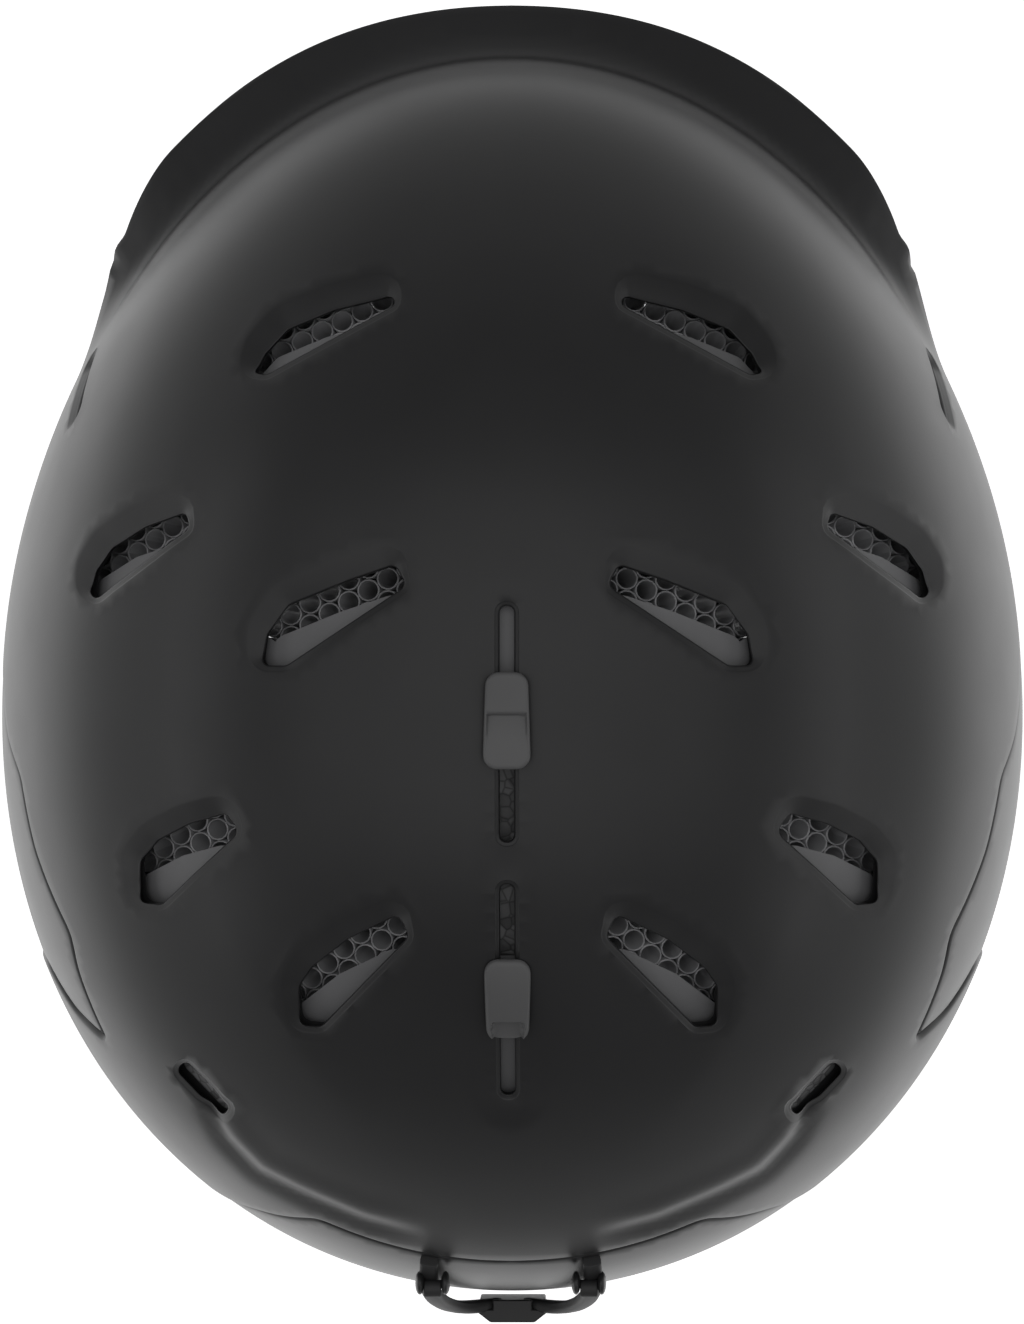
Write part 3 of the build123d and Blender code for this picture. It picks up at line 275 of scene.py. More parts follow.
def outward(loop):
    """Unit normals of a closed loop, pointing out of it."""
    along = np.roll(loop, -1, 0) - np.roll(loop, 1, 0)
    along /= np.linalg.norm(along, axis=1)[:, None]
    normal = np.stack([along[:, 1], -along[:, 0]], -1)
    area = np.sum(loop[:, 0] * np.roll(loop[:, 1], -1) - loop[:, 1] * np.roll(loop[:, 0], -1))
    return normal if area > 0 else -normal


def inside(points, loop):
    """True for points within a closed loop."""
    result = np.zeros(len(points), bool)
    x, y = points[:, 0], points[:, 1]
    for (x0, y0), (x1, y1) in zip(loop, np.roll(loop, -1, 0)):
        if y0 == y1:
            continue
        crosses = ((y0 > y) != (y1 > y)) & (x < (x1 - x0) * (y - y0) / (y1 - y0) + x0)
        result ^= crosses
    return result


# ------------------------------------------------------------------ moulded skins
class Skin:
    """A closed moulded shell over the dome, meshed on the flat map."""

    def __init__(self, height=relief, thickness=SHELL, lift=flare):
        self.height, self.thickness, self.lift = height, thickness, lift
        self.spots, self.outer, self.inner, self.edges = [], [], [], []
        self.count = 0

    def add(self, spots, outer, inner, loop=False):
        start, count = self.count, len(spots)
        self.spots.append(spots)
        self.outer.append(outer)
        self.inner.append(inner)
        if loop:
            self.edges += [(start + i, start + (i + 1) % count) for i in range(count)]
        self.count += count

    def surface(self, spots, drop=0.0):
        """Outer and inner points at map points, the outer sunk by drop."""
        points, normal = dome(spots)
        raised = self.height(points, spots) - drop
        outer = points + self.lift(spots) + normal * raised[:, None]
        return outer, points - normal * self.thickness

    def mesh(self, outline, holes, step):
        """Fill the map between the outline and the holes, and close the shell."""
        rows = np.vstack(self.spots)
        low, high = outline.min(0), outline.max(0)
        xs = np.arange(low[0], high[0], step)
        ys = np.arange(low[1], high[1], step * 0.866)
        grid = np.array([(x + (row % 2) * step / 2, y) for row, y in enumerate(ys) for x in xs])
        grid = grid[inside(grid, outline)]
        for hole in holes:
            grid = grid[~inside(grid, hole["rim"])]
        keep = np.ones(len(grid), bool)
        for chunk in np.array_split(rows, max(1, len(rows) // 200)):
            near = np.linalg.norm(grid[:, None] - chunk[None], axis=2).min(1) < step * 0.62
            keep &= ~near
        grid = grid[keep]
        outer, inner = self.surface(grid)
        self.add(grid, outer, inner)
        spots, outer, inner = (np.vstack(v) for v in (self.spots, self.outer, self.inner))
        result = delaunay_2d_cdt([Vector(p) for p in spots], self.edges, [], 0, 1e-6)
        origin = [sources[0] if sources else -1 for sources in result[3]]
        faces = np.array([[origin[v] for v in face] for face in result[2]])
        middle = spots[faces].mean(1)
        kept = inside(middle, outline)
        for hole in holes:
            kept &= ~inside(middle, hole["mouth"])
        faces = faces[kept]
        used, faces = np.unique(faces, return_inverse=True)
        faces = faces.reshape(-1, 3)
        outer, inner = outer[used], inner[used]
        a, b, c = outer[faces[:, 0]], outer[faces[:, 1]], outer[faces[:, 2]]
        facing = np.einsum("ij,ij->i", np.cross(b - a, c - a), a - np.array([0, DOME_Y, 60.0]))
        if facing.sum() < 0:
            faces = faces[:, ::-1]
        count = len(outer)
        pairs = np.vstack([faces[:, [0, 1]], faces[:, [1, 2]], faces[:, [2, 0]]])
        known = {tuple(pair) for pair in pairs}
        rim = [pair for pair in known if (pair[1], pair[0]) not in known]
        polygons = [tuple(face) for face in faces] + [tuple(face[::-1] + count) for face in faces]
        polygons += [(second, first, first + count, second + count) for first, second in rim]
        return np.vstack([outer, inner]) * MM, polygons


def make_object(name, points, polygons, crease=38):
    mesh = bpy.data.meshes.new(name)
    mesh.from_pydata([tuple(p) for p in points], [], [tuple(int(i) for i in f) for f in polygons])
    mesh.validate()
    mesh.update()
    mesh.polygons.foreach_set("use_smooth", [True] * len(mesh.polygons))
    mesh.set_sharp_from_angle(angle=radians(crease))
    piece = bpy.data.objects.new(name, mesh)
    bpy.context.scene.collection.objects.link(piece)
    return piece


# ------------------------------------------------------------------ shell outlines
VENTS = {
    "front": [(25, -80), (38, -77), (48, -73), (53, -67.5), (55.2, -62.2), (51.5, -61.4), (23, -76.6)],
    "side": [
        (68.8, -33.6), (66.6, -29.2), (85, -16.3), (88.5, -13.6), (91, -15.8), (90, -21), (86.5, -26),
        (78.8, -30.5),
    ],
    "middle": [
        (23.5, -22.2), (20.4, -16.8), (46.5, 0.4), (52.8, 0.4), (51.7, -7), (47, -13.5), (34.3, -18.6),
    ],
    "rear_side": [(60, 30.8), (56, 35), (73.8, 51.4), (79.6, 51), (79.8, 41.5), (76, 37), (68.6, 33.2)],
    "rear": [(23, 52.2), (20, 57), (39.5, 77), (44.8, 76.6), (45.2, 68), (42.5, 64), (34.5, 57.8)],
}
SLOTS = {"front_slot": (-13.3, 37.6), "rear_slot": (45.6, 92.2)}
SLOT_WIDTH = 4.2
VENT_CORNER, VENT_STEP, VENT_LEAN = 2.2, 0.9, (0.4, -0.92)
OUTLET, OUTLET_SIZE, OUTLET_TURN = (66, 91), (15, 4.4), -46
INLET, INLET_SIZE, INLET_TURN = (-61, 114), (22, 4.6), 48
MESH_STEP = 2.6
RIM_SIDE = [(-88.2, 92.6), (-62, 64), (-60, 63.9)]
SEAM_SIDE = [
    (-60, 63.9), (-45, 84), (0, 98), (16, 112), (24, 124), (40, 127), (58, 135), (66, 130), (82, 124),
    (76, 110), (65, 96), (62, 78), (70, 60), (70, 49), (112, 49),
]
SEAM_REAR = [(68.3, 49), (66, 90), (56, 110), (42, 130), (0, 130)]
EDGE_STEP = 1.3
EDGE_ROUNDING = [(0.0, 1.3), (0.35, 0.55), (0.8, 0.18), (1.5, 0.0)]


def densify(points, step=3.0):
    """Points along straight runs of a view's outline."""
    path = []
    for start, end in zip(points[:-1], points[1:]):
        start, end = np.array(start, float), np.array(end, float)
        count = max(1, int(np.linalg.norm(end - start) / step))
        path += [start + (end - start) * i / count for i in range(count)]
    return np.array(path + [np.array(points[-1], float)])


def vent_loops(side):
    """The rounded openings of one side's vents, in plan."""
    return [rounded([(side * x, y) for x, y in points], VENT_CORNER, VENT_STEP) for points in VENTS.values()]


def mirrored(path):
    """Close a path from the front middle to the rear middle with its mirror image."""
    other = path[::-1] * np.array([-1, 1])
    return np.vstack([path, other[1:-1]])


angles = np.linspace(0, BRIM_END, 40)
tip = brim_tip(angles)
share = dome_share(tip)
brim_edge = chart(np.sin(np.radians(angles)) * share, -np.cos(np.radians(angles)) * share, tip)
seam = np.vstack([from_side(densify(SEAM_SIDE)), from_rear(densify(SEAM_REAR))[1:]])
seam = soften(even(seam, EDGE_STEP), 4)
upper_half = np.vstack([brim_edge[:-1], from_side(densify(RIM_SIDE))[:-1], seam])
upper_half = soften(even(upper_half, EDGE_STEP), 2)
upper_half[0, 0] = upper_half[-1, 0] = 0.0
upper_outline = mirrored(upper_half)


def edge_rows(skin, outline, rounding=EDGE_ROUNDING):
    """Rounded edge of a skin, as rows inset from its outline."""
    normal = outward(outline)
    for inset, drop in rounding:
        spots = outline - normal * inset
        outer, inner = skin.surface(spots, drop)
        skin.add(spots, outer, inner, loop=True)


DISH_NARROW, DISH_WIDE = 0.9, 4.4
WALL_DEPTH = 5.0
LIP = ((0.22, 0.08), (0.4, 0.3), (0.5, 0.7), (0.55, 1.6))


def vent_hole(skin, loop, lean, sizes=(DISH_NARROW, DISH_WIDE, WALL_DEPTH), view=from_plan, way=(0, 0, -1)):
    """A vent: a dish that falls towards the opening, a rounded lip and a straight wall."""
    narrow, wide, wall = sizes
    way = np.array(way, float)
    normal = outward(loop)
    facing = np.clip(normal @ (np.array(lean) / np.hypot(*lean)), 0, 1)
    width = narrow + (wide - narrow) * facing**0.8
    width = soften(width, 3, closed=True)
    depth = 0.25 + 0.42 * (width - narrow)
    rim = None
    for share_in in (1.0, 0.85, 0.65, 0.45, 0.25, 0.1, 0.0):
        spots = view(loop + normal * (width * share_in)[:, None])
        fall = depth * (1 - share_in) ** 1.25 - 0.12 * np.exp(-(((share_in - 0.97) / 0.12) ** 2))
        outer, inner = skin.surface(spots, fall)
        skin.add(spots, outer, inner, loop=True)
        if rim is None:
            rim = spots
    back, _ = dome(view(loop + normal * 1.3))
    for inset, down in LIP + ((0.6, wall),):
        spots = view(loop - normal * inset)
        top, _ = skin.surface(spots, depth)
        inner = back + way * max(down, SHELL + 0.4)
        skin.add(spots, top + way * down, inner, loop=True)
    return {"rim": rim, "mouth": spots}


def slot_loop(centre, size, turn, radius_share=0.48, step=0.8):
    """A straight slot in a view, as a rounded loop."""
    c, s_ = cos(radians(turn)), sin(radians(turn))
    corners = [(-size[0], -size[1]), (size[0], -size[1]), (size[0], size[1]), (-size[0], size[1])]
    turned = [(centre[0] + (u * c - v * s_) / 2, centre[1] + (u * s_ + v * c) / 2) for u, v in corners]
    return rounded(turned, size[1] * radius_share, step)


def build_upper_shell():
    skin = Skin()
    edge_rows(skin, upper_outline)
    holes = []
    for side in (1, -1):
        for loop in vent_loops(side):
            holes.append(vent_hole(skin, loop, (side * VENT_LEAN[0], VENT_LEAN[1])))
        outlet = slot_loop((side * OUTLET[0], OUTLET[1]), OUTLET_SIZE, side * OUTLET_TURN)
        holes.append(vent_hole(skin, outlet, (side * -0.7, 0.7), (0.6, 1.6, 4.5)))

        def side_view(points, side=side):
            return from_side(points, side)

        inlet = slot_loop(INLET, INLET_SIZE, INLET_TURN)
        holes.append(vent_hole(skin, inlet, (0.7, -0.7), (0.6, 1.8, 4.5), side_view, (-side, 0, 0)))
    for ends in SLOTS.values():
        slot = slot_loop((0, sum(ends) / 2), (ends[1] - ends[0], SLOT_WIDTH), 90)
        holes.append(vent_hole(skin, slot, (0, -1), (0.5, 0.5, 3.2)))
    points, polygons = skin.mesh(upper_outline, holes, MESH_STEP)
    return make_object("upper_shell_moulding", points, polygons)


SEAM_STEP_IN = 0.6
LOWER_RIM_SIDE = [(-60, 63.9), (45, 60), (80, 34)]
RIM_LOW = 34.0


def build_lower_shell():
    skin = Skin(lower_relief, SHELL, lambda spots: 0.0)
    low_side = from_side(densify(LOWER_RIM_SIDE))
    ring = np.radians(np.arange(52, 90.1, 1.5))
    tuck = dome_share(np.array(RIM_LOW))
    low_rear = chart(np.cos(ring) * tuck, np.sin(ring) * tuck, np.full(len(ring), RIM_LOW))
    start = low_side[-1]
    low_rear = low_rear[low_rear[:, 0] < start[0] - 1]
    rim = soften(even(np.vstack([low_side, low_rear]), EDGE_STEP), 3)
    seam_in = seam + outward(np.vstack([seam, rim[::-1]]))[: len(seam)] * -SEAM_STEP_IN
    half = np.vstack([seam_in[::-1], rim[1:]])
    half = soften(even(half, EDGE_STEP), 1)
    half[0, 0] = half[-1, 0] = 0.0
    outline = mirrored(half)
    edge_rows(skin, outline)
    points, polygons = skin.mesh(outline, [], MESH_STEP)
    return make_object("lower_shell_moulding", points, polygons)


def height_at(x, y, depth):
    """Height of the surface at depth over plan positions."""
    along = (y - DOME_Y) / (HALF_LENGTH - depth)
    across = x / ((HALF_WIDTH - depth) * (1 + WIDENING * along))
    return DOME_Z + (HALF_LENGTH - depth) * np.sqrt(np.clip(1 - along**2 - across**2, 0, 1))


# ------------------------------------------------------------------ honeycomb of air tubes
TUBE_PITCH, TUBE_WALL, TUBE_SIDES = 4.8, 0.34, 14
TUBE_TOP, TUBE_FOOT = 7.4, 24.5
TUBE_ROUNDING = 0.15
TUBE_SPREAD, HEX_ROW = 1.8, 0.866


def tube(centre, twist, lean):
    """One thin tube square to the dome, cut to the dome at both ends."""
    angles = np.linspace(0, 2 * pi, TUBE_SIDES, endpoint=False) + twist
    outer = TUBE_PITCH / 2 - 0.01
    inner = outer - TUBE_WALL
    rows = []
    for radius, depth in (
        (inner, TUBE_FOOT), (outer, TUBE_FOOT), (outer, TUBE_TOP + TUBE_ROUNDING),
        ((outer + inner) / 2, TUBE_TOP), (inner, TUBE_TOP + TUBE_ROUNDING),
    ):
        drop = (depth - TUBE_TOP) * lean
        x = centre[0] + drop[0] + radius * np.cos(angles)
        y = centre[1] + drop[1] + radius * np.sin(angles)
        rows.append(np.stack([x, y, height_at(x, y, depth)], -1))
    polygons = []
    for row in range(len(rows)):
        after = (row + 1) % len(rows)
        for i in range(TUBE_SIDES):
            j = (i + 1) % TUBE_SIDES
            low, high = row * TUBE_SIDES, after * TUBE_SIDES
            polygons.append((low + i, low + j, high + j, high + i))
    return np.vstack(rows) * MM, polygons


def join_parts(parts):
    """One mesh from several (points, polygons) parts."""
    points, polygons, count = [], [], 0
    for some, faces in parts:
        points.append(some)
        polygons += [tuple(int(i) + count for i in face) for face in faces]
        count += len(some)
    return np.vstack(points), polygons


def build_honeycomb(side_name, side):
    random = np.random.default_rng(7)
    parts = []
    for loop in vent_loops(side):
        grown = loop + outward(loop) * TUBE_SPREAD
        centre = loop.mean(0)
        axis = np.linalg.svd(loop - centre)[2][0]
        cross = np.array([-axis[1], axis[0]])
        _, up = dome(from_plan(centre[None]))
        lean = -up[0, :2]
        for row in range(-6, 7):
            for column in range(-9, 10):
                u = (column + 0.5 * (row % 2)) * TUBE_PITCH
                spot = centre + axis * u + cross * row * TUBE_PITCH * HEX_ROW
                if inside(spot[None], grown)[0]:
                    parts.append(tube(spot, random.uniform(0, 1), lean))
    return make_object(f"air_tubes_{side_name}", *join_parts(parts))


# ------------------------------------------------------------------ vent sliders
SLIDER_TOP, SLIDER_FOOT = 2.1, 0.45
SLIDER_WIDE, SLIDER_NARROW = 5.05, 4.4
SLIDER_EDGE = [(0.0, 0.75), (0.2, 0.3), (0.5, 0.08), (0.9, 0.0)]
SLIDER_CORNER, SLIDER_STEP, SLIDER_CROWN = 2.9, 0.5, 0.012
NECK_HALF, NECK_REACH, NECK_DEPTHS = 1.9, 6, (0.3, 4.0)
SCOOP_HALF, SCOOP_DEPTH, RAMP_DEPTH = 3.95, 1.55, 1.6
FRONT_BUTTON, FRONT_STEP = (21.4, 1.2), 10.0
REAR_BUTTON, REAR_STEP = (61.9, 78.6), 74.4


def thumb_scoop(x, y):
    """Depth of the front button's scoop: a step down from its flat part, climbing to its rear end."""
    past = (y - FRONT_STEP) / (FRONT_BUTTON[0] - FRONT_STEP)
    inside_scoop = 1 - smooth((np.abs(x) - SCOOP_HALF - 0.04 * (y - FRONT_STEP)) / 0.5 + 0.5)
    return SCOOP_DEPTH * smooth(past * 14 + 0.5) * np.clip(1 - past, 0, 1) ** 1.8 * inside_scoop


def thumb_ramp(x, y):
    """Depth of the rear button's top: a ramp that climbs to a step, then a low part between two rims."""
    along = np.clip((y - REAR_BUTTON[0]) / (REAR_STEP - REAR_BUTTON[0]), 0, 1)
    low = smooth((y - REAR_STEP) / 0.6 + 0.5) * (1 - smooth((np.abs(x) - SCOOP_HALF + 0.9) / 0.5 + 0.5))
    return RAMP_DEPTH * (1 - along) ** 2 + SCOOP_DEPTH * low


def build_slider(name, ends, depth):
    """A sliding button with rounded corners, wider at one end."""
    wide_end, narrow_end = ends

    def height(points, spots):
        x, y = points[:, 0], points[:, 1]
        return SLIDER_TOP - depth(x, y) - SLIDER_CROWN * x**2

    skin = Skin(height, SLIDER_FOOT, lambda spots: 0.0)
    narrow, wide = SLIDER_NARROW, SLIDER_WIDE
    corners = [(-narrow, narrow_end), (narrow, narrow_end), (wide, wide_end), (-wide, wide_end)]
    outline = from_plan(rounded(corners, SLIDER_CORNER, SLIDER_STEP))
    edge_rows(skin, outline, SLIDER_EDGE)
    points, polygons = skin.mesh(outline, [], 0.55)
    neck_middle = (wide_end + narrow_end) / 2
    signs = ((-1, -1), (1, -1), (1, 1), (-1, 1))
    corners = [(NECK_HALF * u, neck_middle + NECK_REACH * v) for u, v in signs]
    neck = [(x, y, height_at(x, y, depth)) for depth in NECK_DEPTHS for x, y in corners]
    neck = np.array(neck, float) * MM
    walls = [(i, (i + 1) % 4, 4 + (i + 1) % 4, 4 + i) for i in range(4)] + [(3, 2, 1, 0), (4, 5, 6, 7)]
    return make_object(name, *join_parts([(points, polygons), (neck, walls)]), crease=50)


def attach(piece, body, slot_name, *nodes):
    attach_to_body(piece, body)
    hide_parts(*nodes)
    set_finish(piece, slot_name)
    return piece


SIDES = {"left": 1, "right": -1}
attach(build_upper_shell(), "helmet", "shell_black", "upper_shell")
attach(build_lower_shell(), "helmet", "shell_lower", "lower_shell")
for name, side in SIDES.items():
    attach(build_honeycomb(name, side), "helmet", "honeycomb", f"honeycomb_{name}")
for name, ends, depth in (("front", FRONT_BUTTON, thumb_scoop), ("rear", REAR_BUTTON, thumb_ramp)):
    slider = build_slider(f"{name}_slider_button", ends, depth)
    attach(slider, f"{name}_vent", "slider_black", f"{name}_vent_slider")

# ------------------------------------------------------------------ padded pieces
PAD_FRAMES = 14
SEAM_DEPTH, RING_DEPTH, SEAM_WIDTH = 1.1, 0.9, 1.2


def node_mesh(node):
    """A copy of a CAD node's mesh as a new object, with its corners welded."""
    piece = bpy.data.objects.new("pad", frame["nodes"][node].data.copy())
    bpy.context.scene.collection.objects.link(piece)
    shape = bmesh.new()
    shape.from_mesh(piece.data)
    bmesh.ops.remove_doubles(shape, verts=shape.verts, dist=1e-5)
    shape.to_mesh(piece.data)
    shape.free()
    return piece


def apply_modifiers(piece):
    bpy.context.view_layer.update()
    graph = bpy.context.evaluated_depsgraph_get()
    mesh = bpy.data.meshes.new_from_object(piece.evaluated_get(graph))
    piece.modifiers.clear()
    old, piece.data = piece.data, mesh
    bpy.data.meshes.remove(old)


def vertices(piece):
    points = np.zeros(len(piece.data.vertices) * 3)
    piece.data.vertices.foreach_get("co", points)
    return points.reshape(-1, 3)


def vertex_normals(piece):
    normals = np.zeros(len(piece.data.vertices) * 3)
    piece.data.vertices.foreach_get("normal", normals)
    return normals.reshape(-1, 3)


def set_vertices(piece, points):
    piece.data.vertices.foreach_set("co", np.asarray(points).ravel())
    piece.data.update()


def build_pad(name, node, voxel, cap, shrink, pressure=4.0):
    """A stuffed copy of a CAD pad: remeshed, drawn in a little, then blown up as cloth."""
    piece = node_mesh(node)
    piece.name = piece.data.name = name
    remesh = piece.modifiers.new("remesh", "REMESH")
    remesh.mode = "VOXEL"
    remesh.voxel_size = voxel
    apply_modifiers(piece)
    smoother = piece.modifiers.new("smooth", "SMOOTH")
    smoother.iterations = 3
    apply_modifiers(piece)
    start = vertices(piece) - vertex_normals(piece) * shrink
    set_vertices(piece, start)
    cloth = piece.modifiers.new("cloth", "CLOTH")
    cloth.settings.use_pressure = True
    cloth.settings.uniform_pressure_force = pressure
    cloth.settings.effector_weights.gravity = 0
    cloth.settings.quality = 4
    cloth.collision_settings.use_collision = False
    for step in range(1, PAD_FRAMES + 1):
        bpy.context.scene.frame_set(step)
    apply_modifiers(piece)
    bpy.context.scene.frame_set(1)
    moved = vertices(piece) - start
    length = np.linalg.norm(moved, axis=1)
    factor = np.minimum(1.0, cap / np.maximum(length, 1e-9))
    set_vertices(piece, start + moved * factor[:, None])
    finer = piece.modifiers.new("finer", "SUBSURF")
    finer.levels = finer.render_levels = 1
    apply_modifiers(piece)
    piece.data.polygons.foreach_set("use_smooth", [True] * len(piece.data.polygons))
    return piece


def mirror_pad(piece, name):
    """The same pad on the other side."""
    other = bpy.data.objects.new(name, piece.data.copy())
    other.data.name = name
    bpy.context.scene.collection.objects.link(other)
    set_vertices(other, vertices(other) * np.array([-1, 1, 1]))
    other.data.flip_normals()
    return other


def groove(piece, distance, depth, width):
    """Sew a channel into a pad where distance, a function of its points in millimetres, is zero."""
    points = vertices(piece)
    fall = depth * np.exp(-((distance(points / MM) / width) ** 2))
    set_vertices(piece, points - vertex_normals(piece) * fall[:, None] * MM)


def ear_seam(points):
    """Distance from the seam that runs round inside the edge of an ear pad."""
    edge = np.array([(-46, 57.5), (38, 57.5), (56, 40), (54, 22), (40, 0), (-26, 0), (-42, 28)], float)
    plan = points[:, 1:]
    off, _ = near_line(plan, edge, closed=True)
    return np.abs(off) - 7.0


def port_ring(points):
    return np.hypot(points[:, 1] - 3, points[:, 2] - 31) - 16.5


PADS = {
    "brow_comfort_pad": ("brow_pad", 0.0022, 0.0022, 0.0006, None),
    "crown_comfort_pad": ("crown_pad", 0.003, 0.003, 0.001, lambda p: np.abs(p[:, 0]) - 15),
    "side_comfort_pad_left": ("side_pad_left", 0.003, 0.003, 0.001, lambda p: np.abs(p[:, 1] - 4) - 17),
    "rear_comfort_pad": ("rear_pad", 0.003, 0.003, 0.001, lambda p: np.abs(p[:, 0]) - 13),
    "nape_cushion_left": ("nape_pad_left", 0.002, 0.002, 0.0005, None),
    "ear_cushion_left": ("ear_pad_left", 0.0036, 0.003, 0.0008, ear_seam),
    "chin_fleece": ("chin_pad", 0.0026, 0.0025, 0.0006, None),
}
FABRIC_BODY = {"nape": "fit_cradle", "ear": "ear_pad", "chin": "chin_strap"}
FABRIC_SLOT = {"ear": "ear_fabric", "chin": "fleece"}
for name, (node, voxel, cap, shrink, seam_at) in PADS.items():
    piece = build_pad(name, node, voxel, cap, shrink)
    if seam_at:
        groove(piece, seam_at, SEAM_DEPTH, SEAM_WIDTH)
    if name == "ear_cushion_left":
        groove(piece, port_ring, RING_DEPTH, SEAM_WIDTH)
    group = [(piece, node)]
    if name.endswith("_left"):
        other = name[:-4] + "right"
        group.append((mirror_pad(piece, other), node[:-4] + "right"))
    kind = name.split("_")[0]
    for piece, part in group:
        body = part if kind == "ear" else FABRIC_BODY.get(kind, "helmet")
        attach(piece, body, FABRIC_SLOT.get(kind, "pad_fabric"), part)

# ------------------------------------------------------------------ webbing
WEB_THICKNESS = 1.5
LEG_START, LEG_ANCHORS, LEG_PAST_RIVET = (2.0, 28.0), ((-38, 84), (50, 84)), 7
LEG_DEPTH, LEG_WIDTH = 28.5, 15.0
WEB_EDGE = [(-1.0, 0.0), (-0.97, 0.7), (-0.9, 1.0), (-0.8, 0.86), (-0.5, 0.86), (0, 0.86)]


def bar(rows):
    """A closed bar through rings of points, with flat ends."""
    count, around = rows.shape[:2]
    polygons = []
    for i in range(count - 1):
        for j in range(around):
            k = (j + 1) % around
            polygons.append((i * around + j, i * around + k, (i + 1) * around + k, (i + 1) * around + j))
    polygons += [tuple(range(around))[::-1], tuple((count - 1) * around + j for j in range(around))]
    return rows.reshape(-1, 3) * MM, polygons


def headings(path):
    """Unit directions along a path."""
    forward = np.gradient(path, axis=0)
    forward /= np.linalg.norm(forward, axis=1)[:, None]
    return forward


def ribbon(middle, across_way, normal, width, thickness):
    """Flat webbing along a path: rows of points across it, with thicker woven edges."""
    section = WEB_EDGE + [(-u, t) for u, t in WEB_EDGE[-2::-1]]
    section += [(u, -t) for u, t in section[-2:0:-1]]
    rows = []
    for u, t in section:
        rows.append(middle + across_way * (u * width / 2) + normal * (t * thickness / 2))
    return bar(np.stack(rows, 1))


def fix_normals(piece):
    shape = bmesh.new()
    shape.from_mesh(piece.data)
    bmesh.ops.recalc_face_normals(shape, faces=shape.faces)
    shape.to_mesh(piece.data)
    shape.free()


def wall(y, z, depth, side):
    """A point on the surface at depth beside the head, and the normal there."""
    def x_at(y, z):
        along = (y - DOME_Y) / (HALF_LENGTH - depth)
        up = np.clip((z - DOME_Z) / (HALF_LENGTH - depth), 0, 1)
        low = np.clip((DOME_Z - z) / DOME_Z, 0, None)
        share = np.where(z > DOME_Z, np.sqrt(1 - up**2), 1 - TUCK * low**2)
        across = np.sqrt(np.clip(share**2 - along**2, 0, 1))
        return (HALF_WIDTH - depth) * across * (1 + WIDENING * along)

    x = x_at(y, z)
    slope_y = x_at(y + 0.5, z) - x_at(y - 0.5, z)
    slope_z = x_at(y, z + 0.5) - x_at(y, z - 0.5)
    normal = np.stack([np.ones_like(x), -slope_y, -slope_z], -1)
    normal /= np.linalg.norm(normal, axis=-1)[..., None]
    mirror = np.array([side, 1, 1])
    return np.stack([x, y, z], -1) * mirror, normal * mirror


def leg(anchor, side):
    """One strap leg, from the splitter up past its rivet."""
    start, end = np.array(LEG_START), np.array(anchor, float)
    run = (end - start) / np.linalg.norm(end - start)
    way = np.linspace(0, np.linalg.norm(end - start) + LEG_PAST_RIVET, 30)
    path = start + run * way[:, None]
    middle, normal = wall(path[:, 0], path[:, 1], LEG_DEPTH, side)
    across_way = np.cross(normal, headings(middle))
    return ribbon(middle, across_way, normal, LEG_WIDTH, WEB_THICKNESS)


def fillet_path(points, radius, step):
    """An open polyline with rounded corners, evenly spaced."""
    points = [np.asarray(p, float) for p in points]
    path = [points[0]]
    for before, corner, after in zip(points[:-2], points[1:-1], points[2:]):
        back, on, _, cut = corner_cut(before, corner, after, radius)
        for share in np.linspace(0, 1, 9):
            path.append((1 - share) ** 2 * (corner + back * cut) + 2 * share * (1 - share) * corner
                        + share**2 * (corner + on * cut))
    path.append(points[-1])
    return even(np.array(path), step)


CHIN_HALF = [(76.6, 10.0), (76.2, -10.0), (70.0, -38.0), (50.0, -75.0), (26.0, -92.0), (0.0, -96.0)]
BUCKLE_HALF = 26.0
CHIN_FILLET, CHIN_LOW, CHIN_HIGH, BUCKLE_OVERLAP = 14, 4.6, 21.4, 4


def chin_run(path):
    middle = np.column_stack([path, np.full(len(path), (CHIN_LOW + CHIN_HIGH) / 2)])
    forward = headings(middle)
    up = np.tile([0.0, 0.0, 1.0], (len(path), 1))
    return ribbon(middle, up, np.cross(forward, up), CHIN_HIGH - CHIN_LOW, WEB_THICKNESS)


chin_left = fillet_path(CHIN_HALF, CHIN_FILLET, 2.0)
buckle_spot = np.array([60.0, -56.5])
buckle_way = np.array([-20.0, -37.0]) / np.hypot(20, 37)
past = (chin_left - buckle_spot) @ buckle_way
chin_after_buckle = chin_left[past > BUCKLE_HALF - BUCKLE_OVERLAP]
chin_right = np.vstack([chin_after_buckle, chin_left[::-1][1:] * np.array([-1, 1])])
chin_before_buckle = chin_left[past < -BUCKLE_HALF + BUCKLE_OVERLAP]
leg_parts = {name: [leg(anchor, side) for anchor in LEG_ANCHORS] for name, side in SIDES.items()}
WEBBING = {
    "strap_webbing_left": ("helmet", "strap_legs_left", leg_parts["left"]),
    "strap_webbing_right": ("helmet", "strap_legs_right", leg_parts["right"]),
    "chin_webbing_left": ("chin_strap", "chin_strap_left", [chin_run(chin_before_buckle)]),
    "chin_webbing_right": ("chin_strap", "chin_strap_right", [chin_run(chin_right)]),
}
for name, (body, node, parts) in WEBBING.items():
    piece = make_object(name, *join_parts(parts), crease=60)
    fix_normals(piece)
    attach(piece, body, "webbing", node)

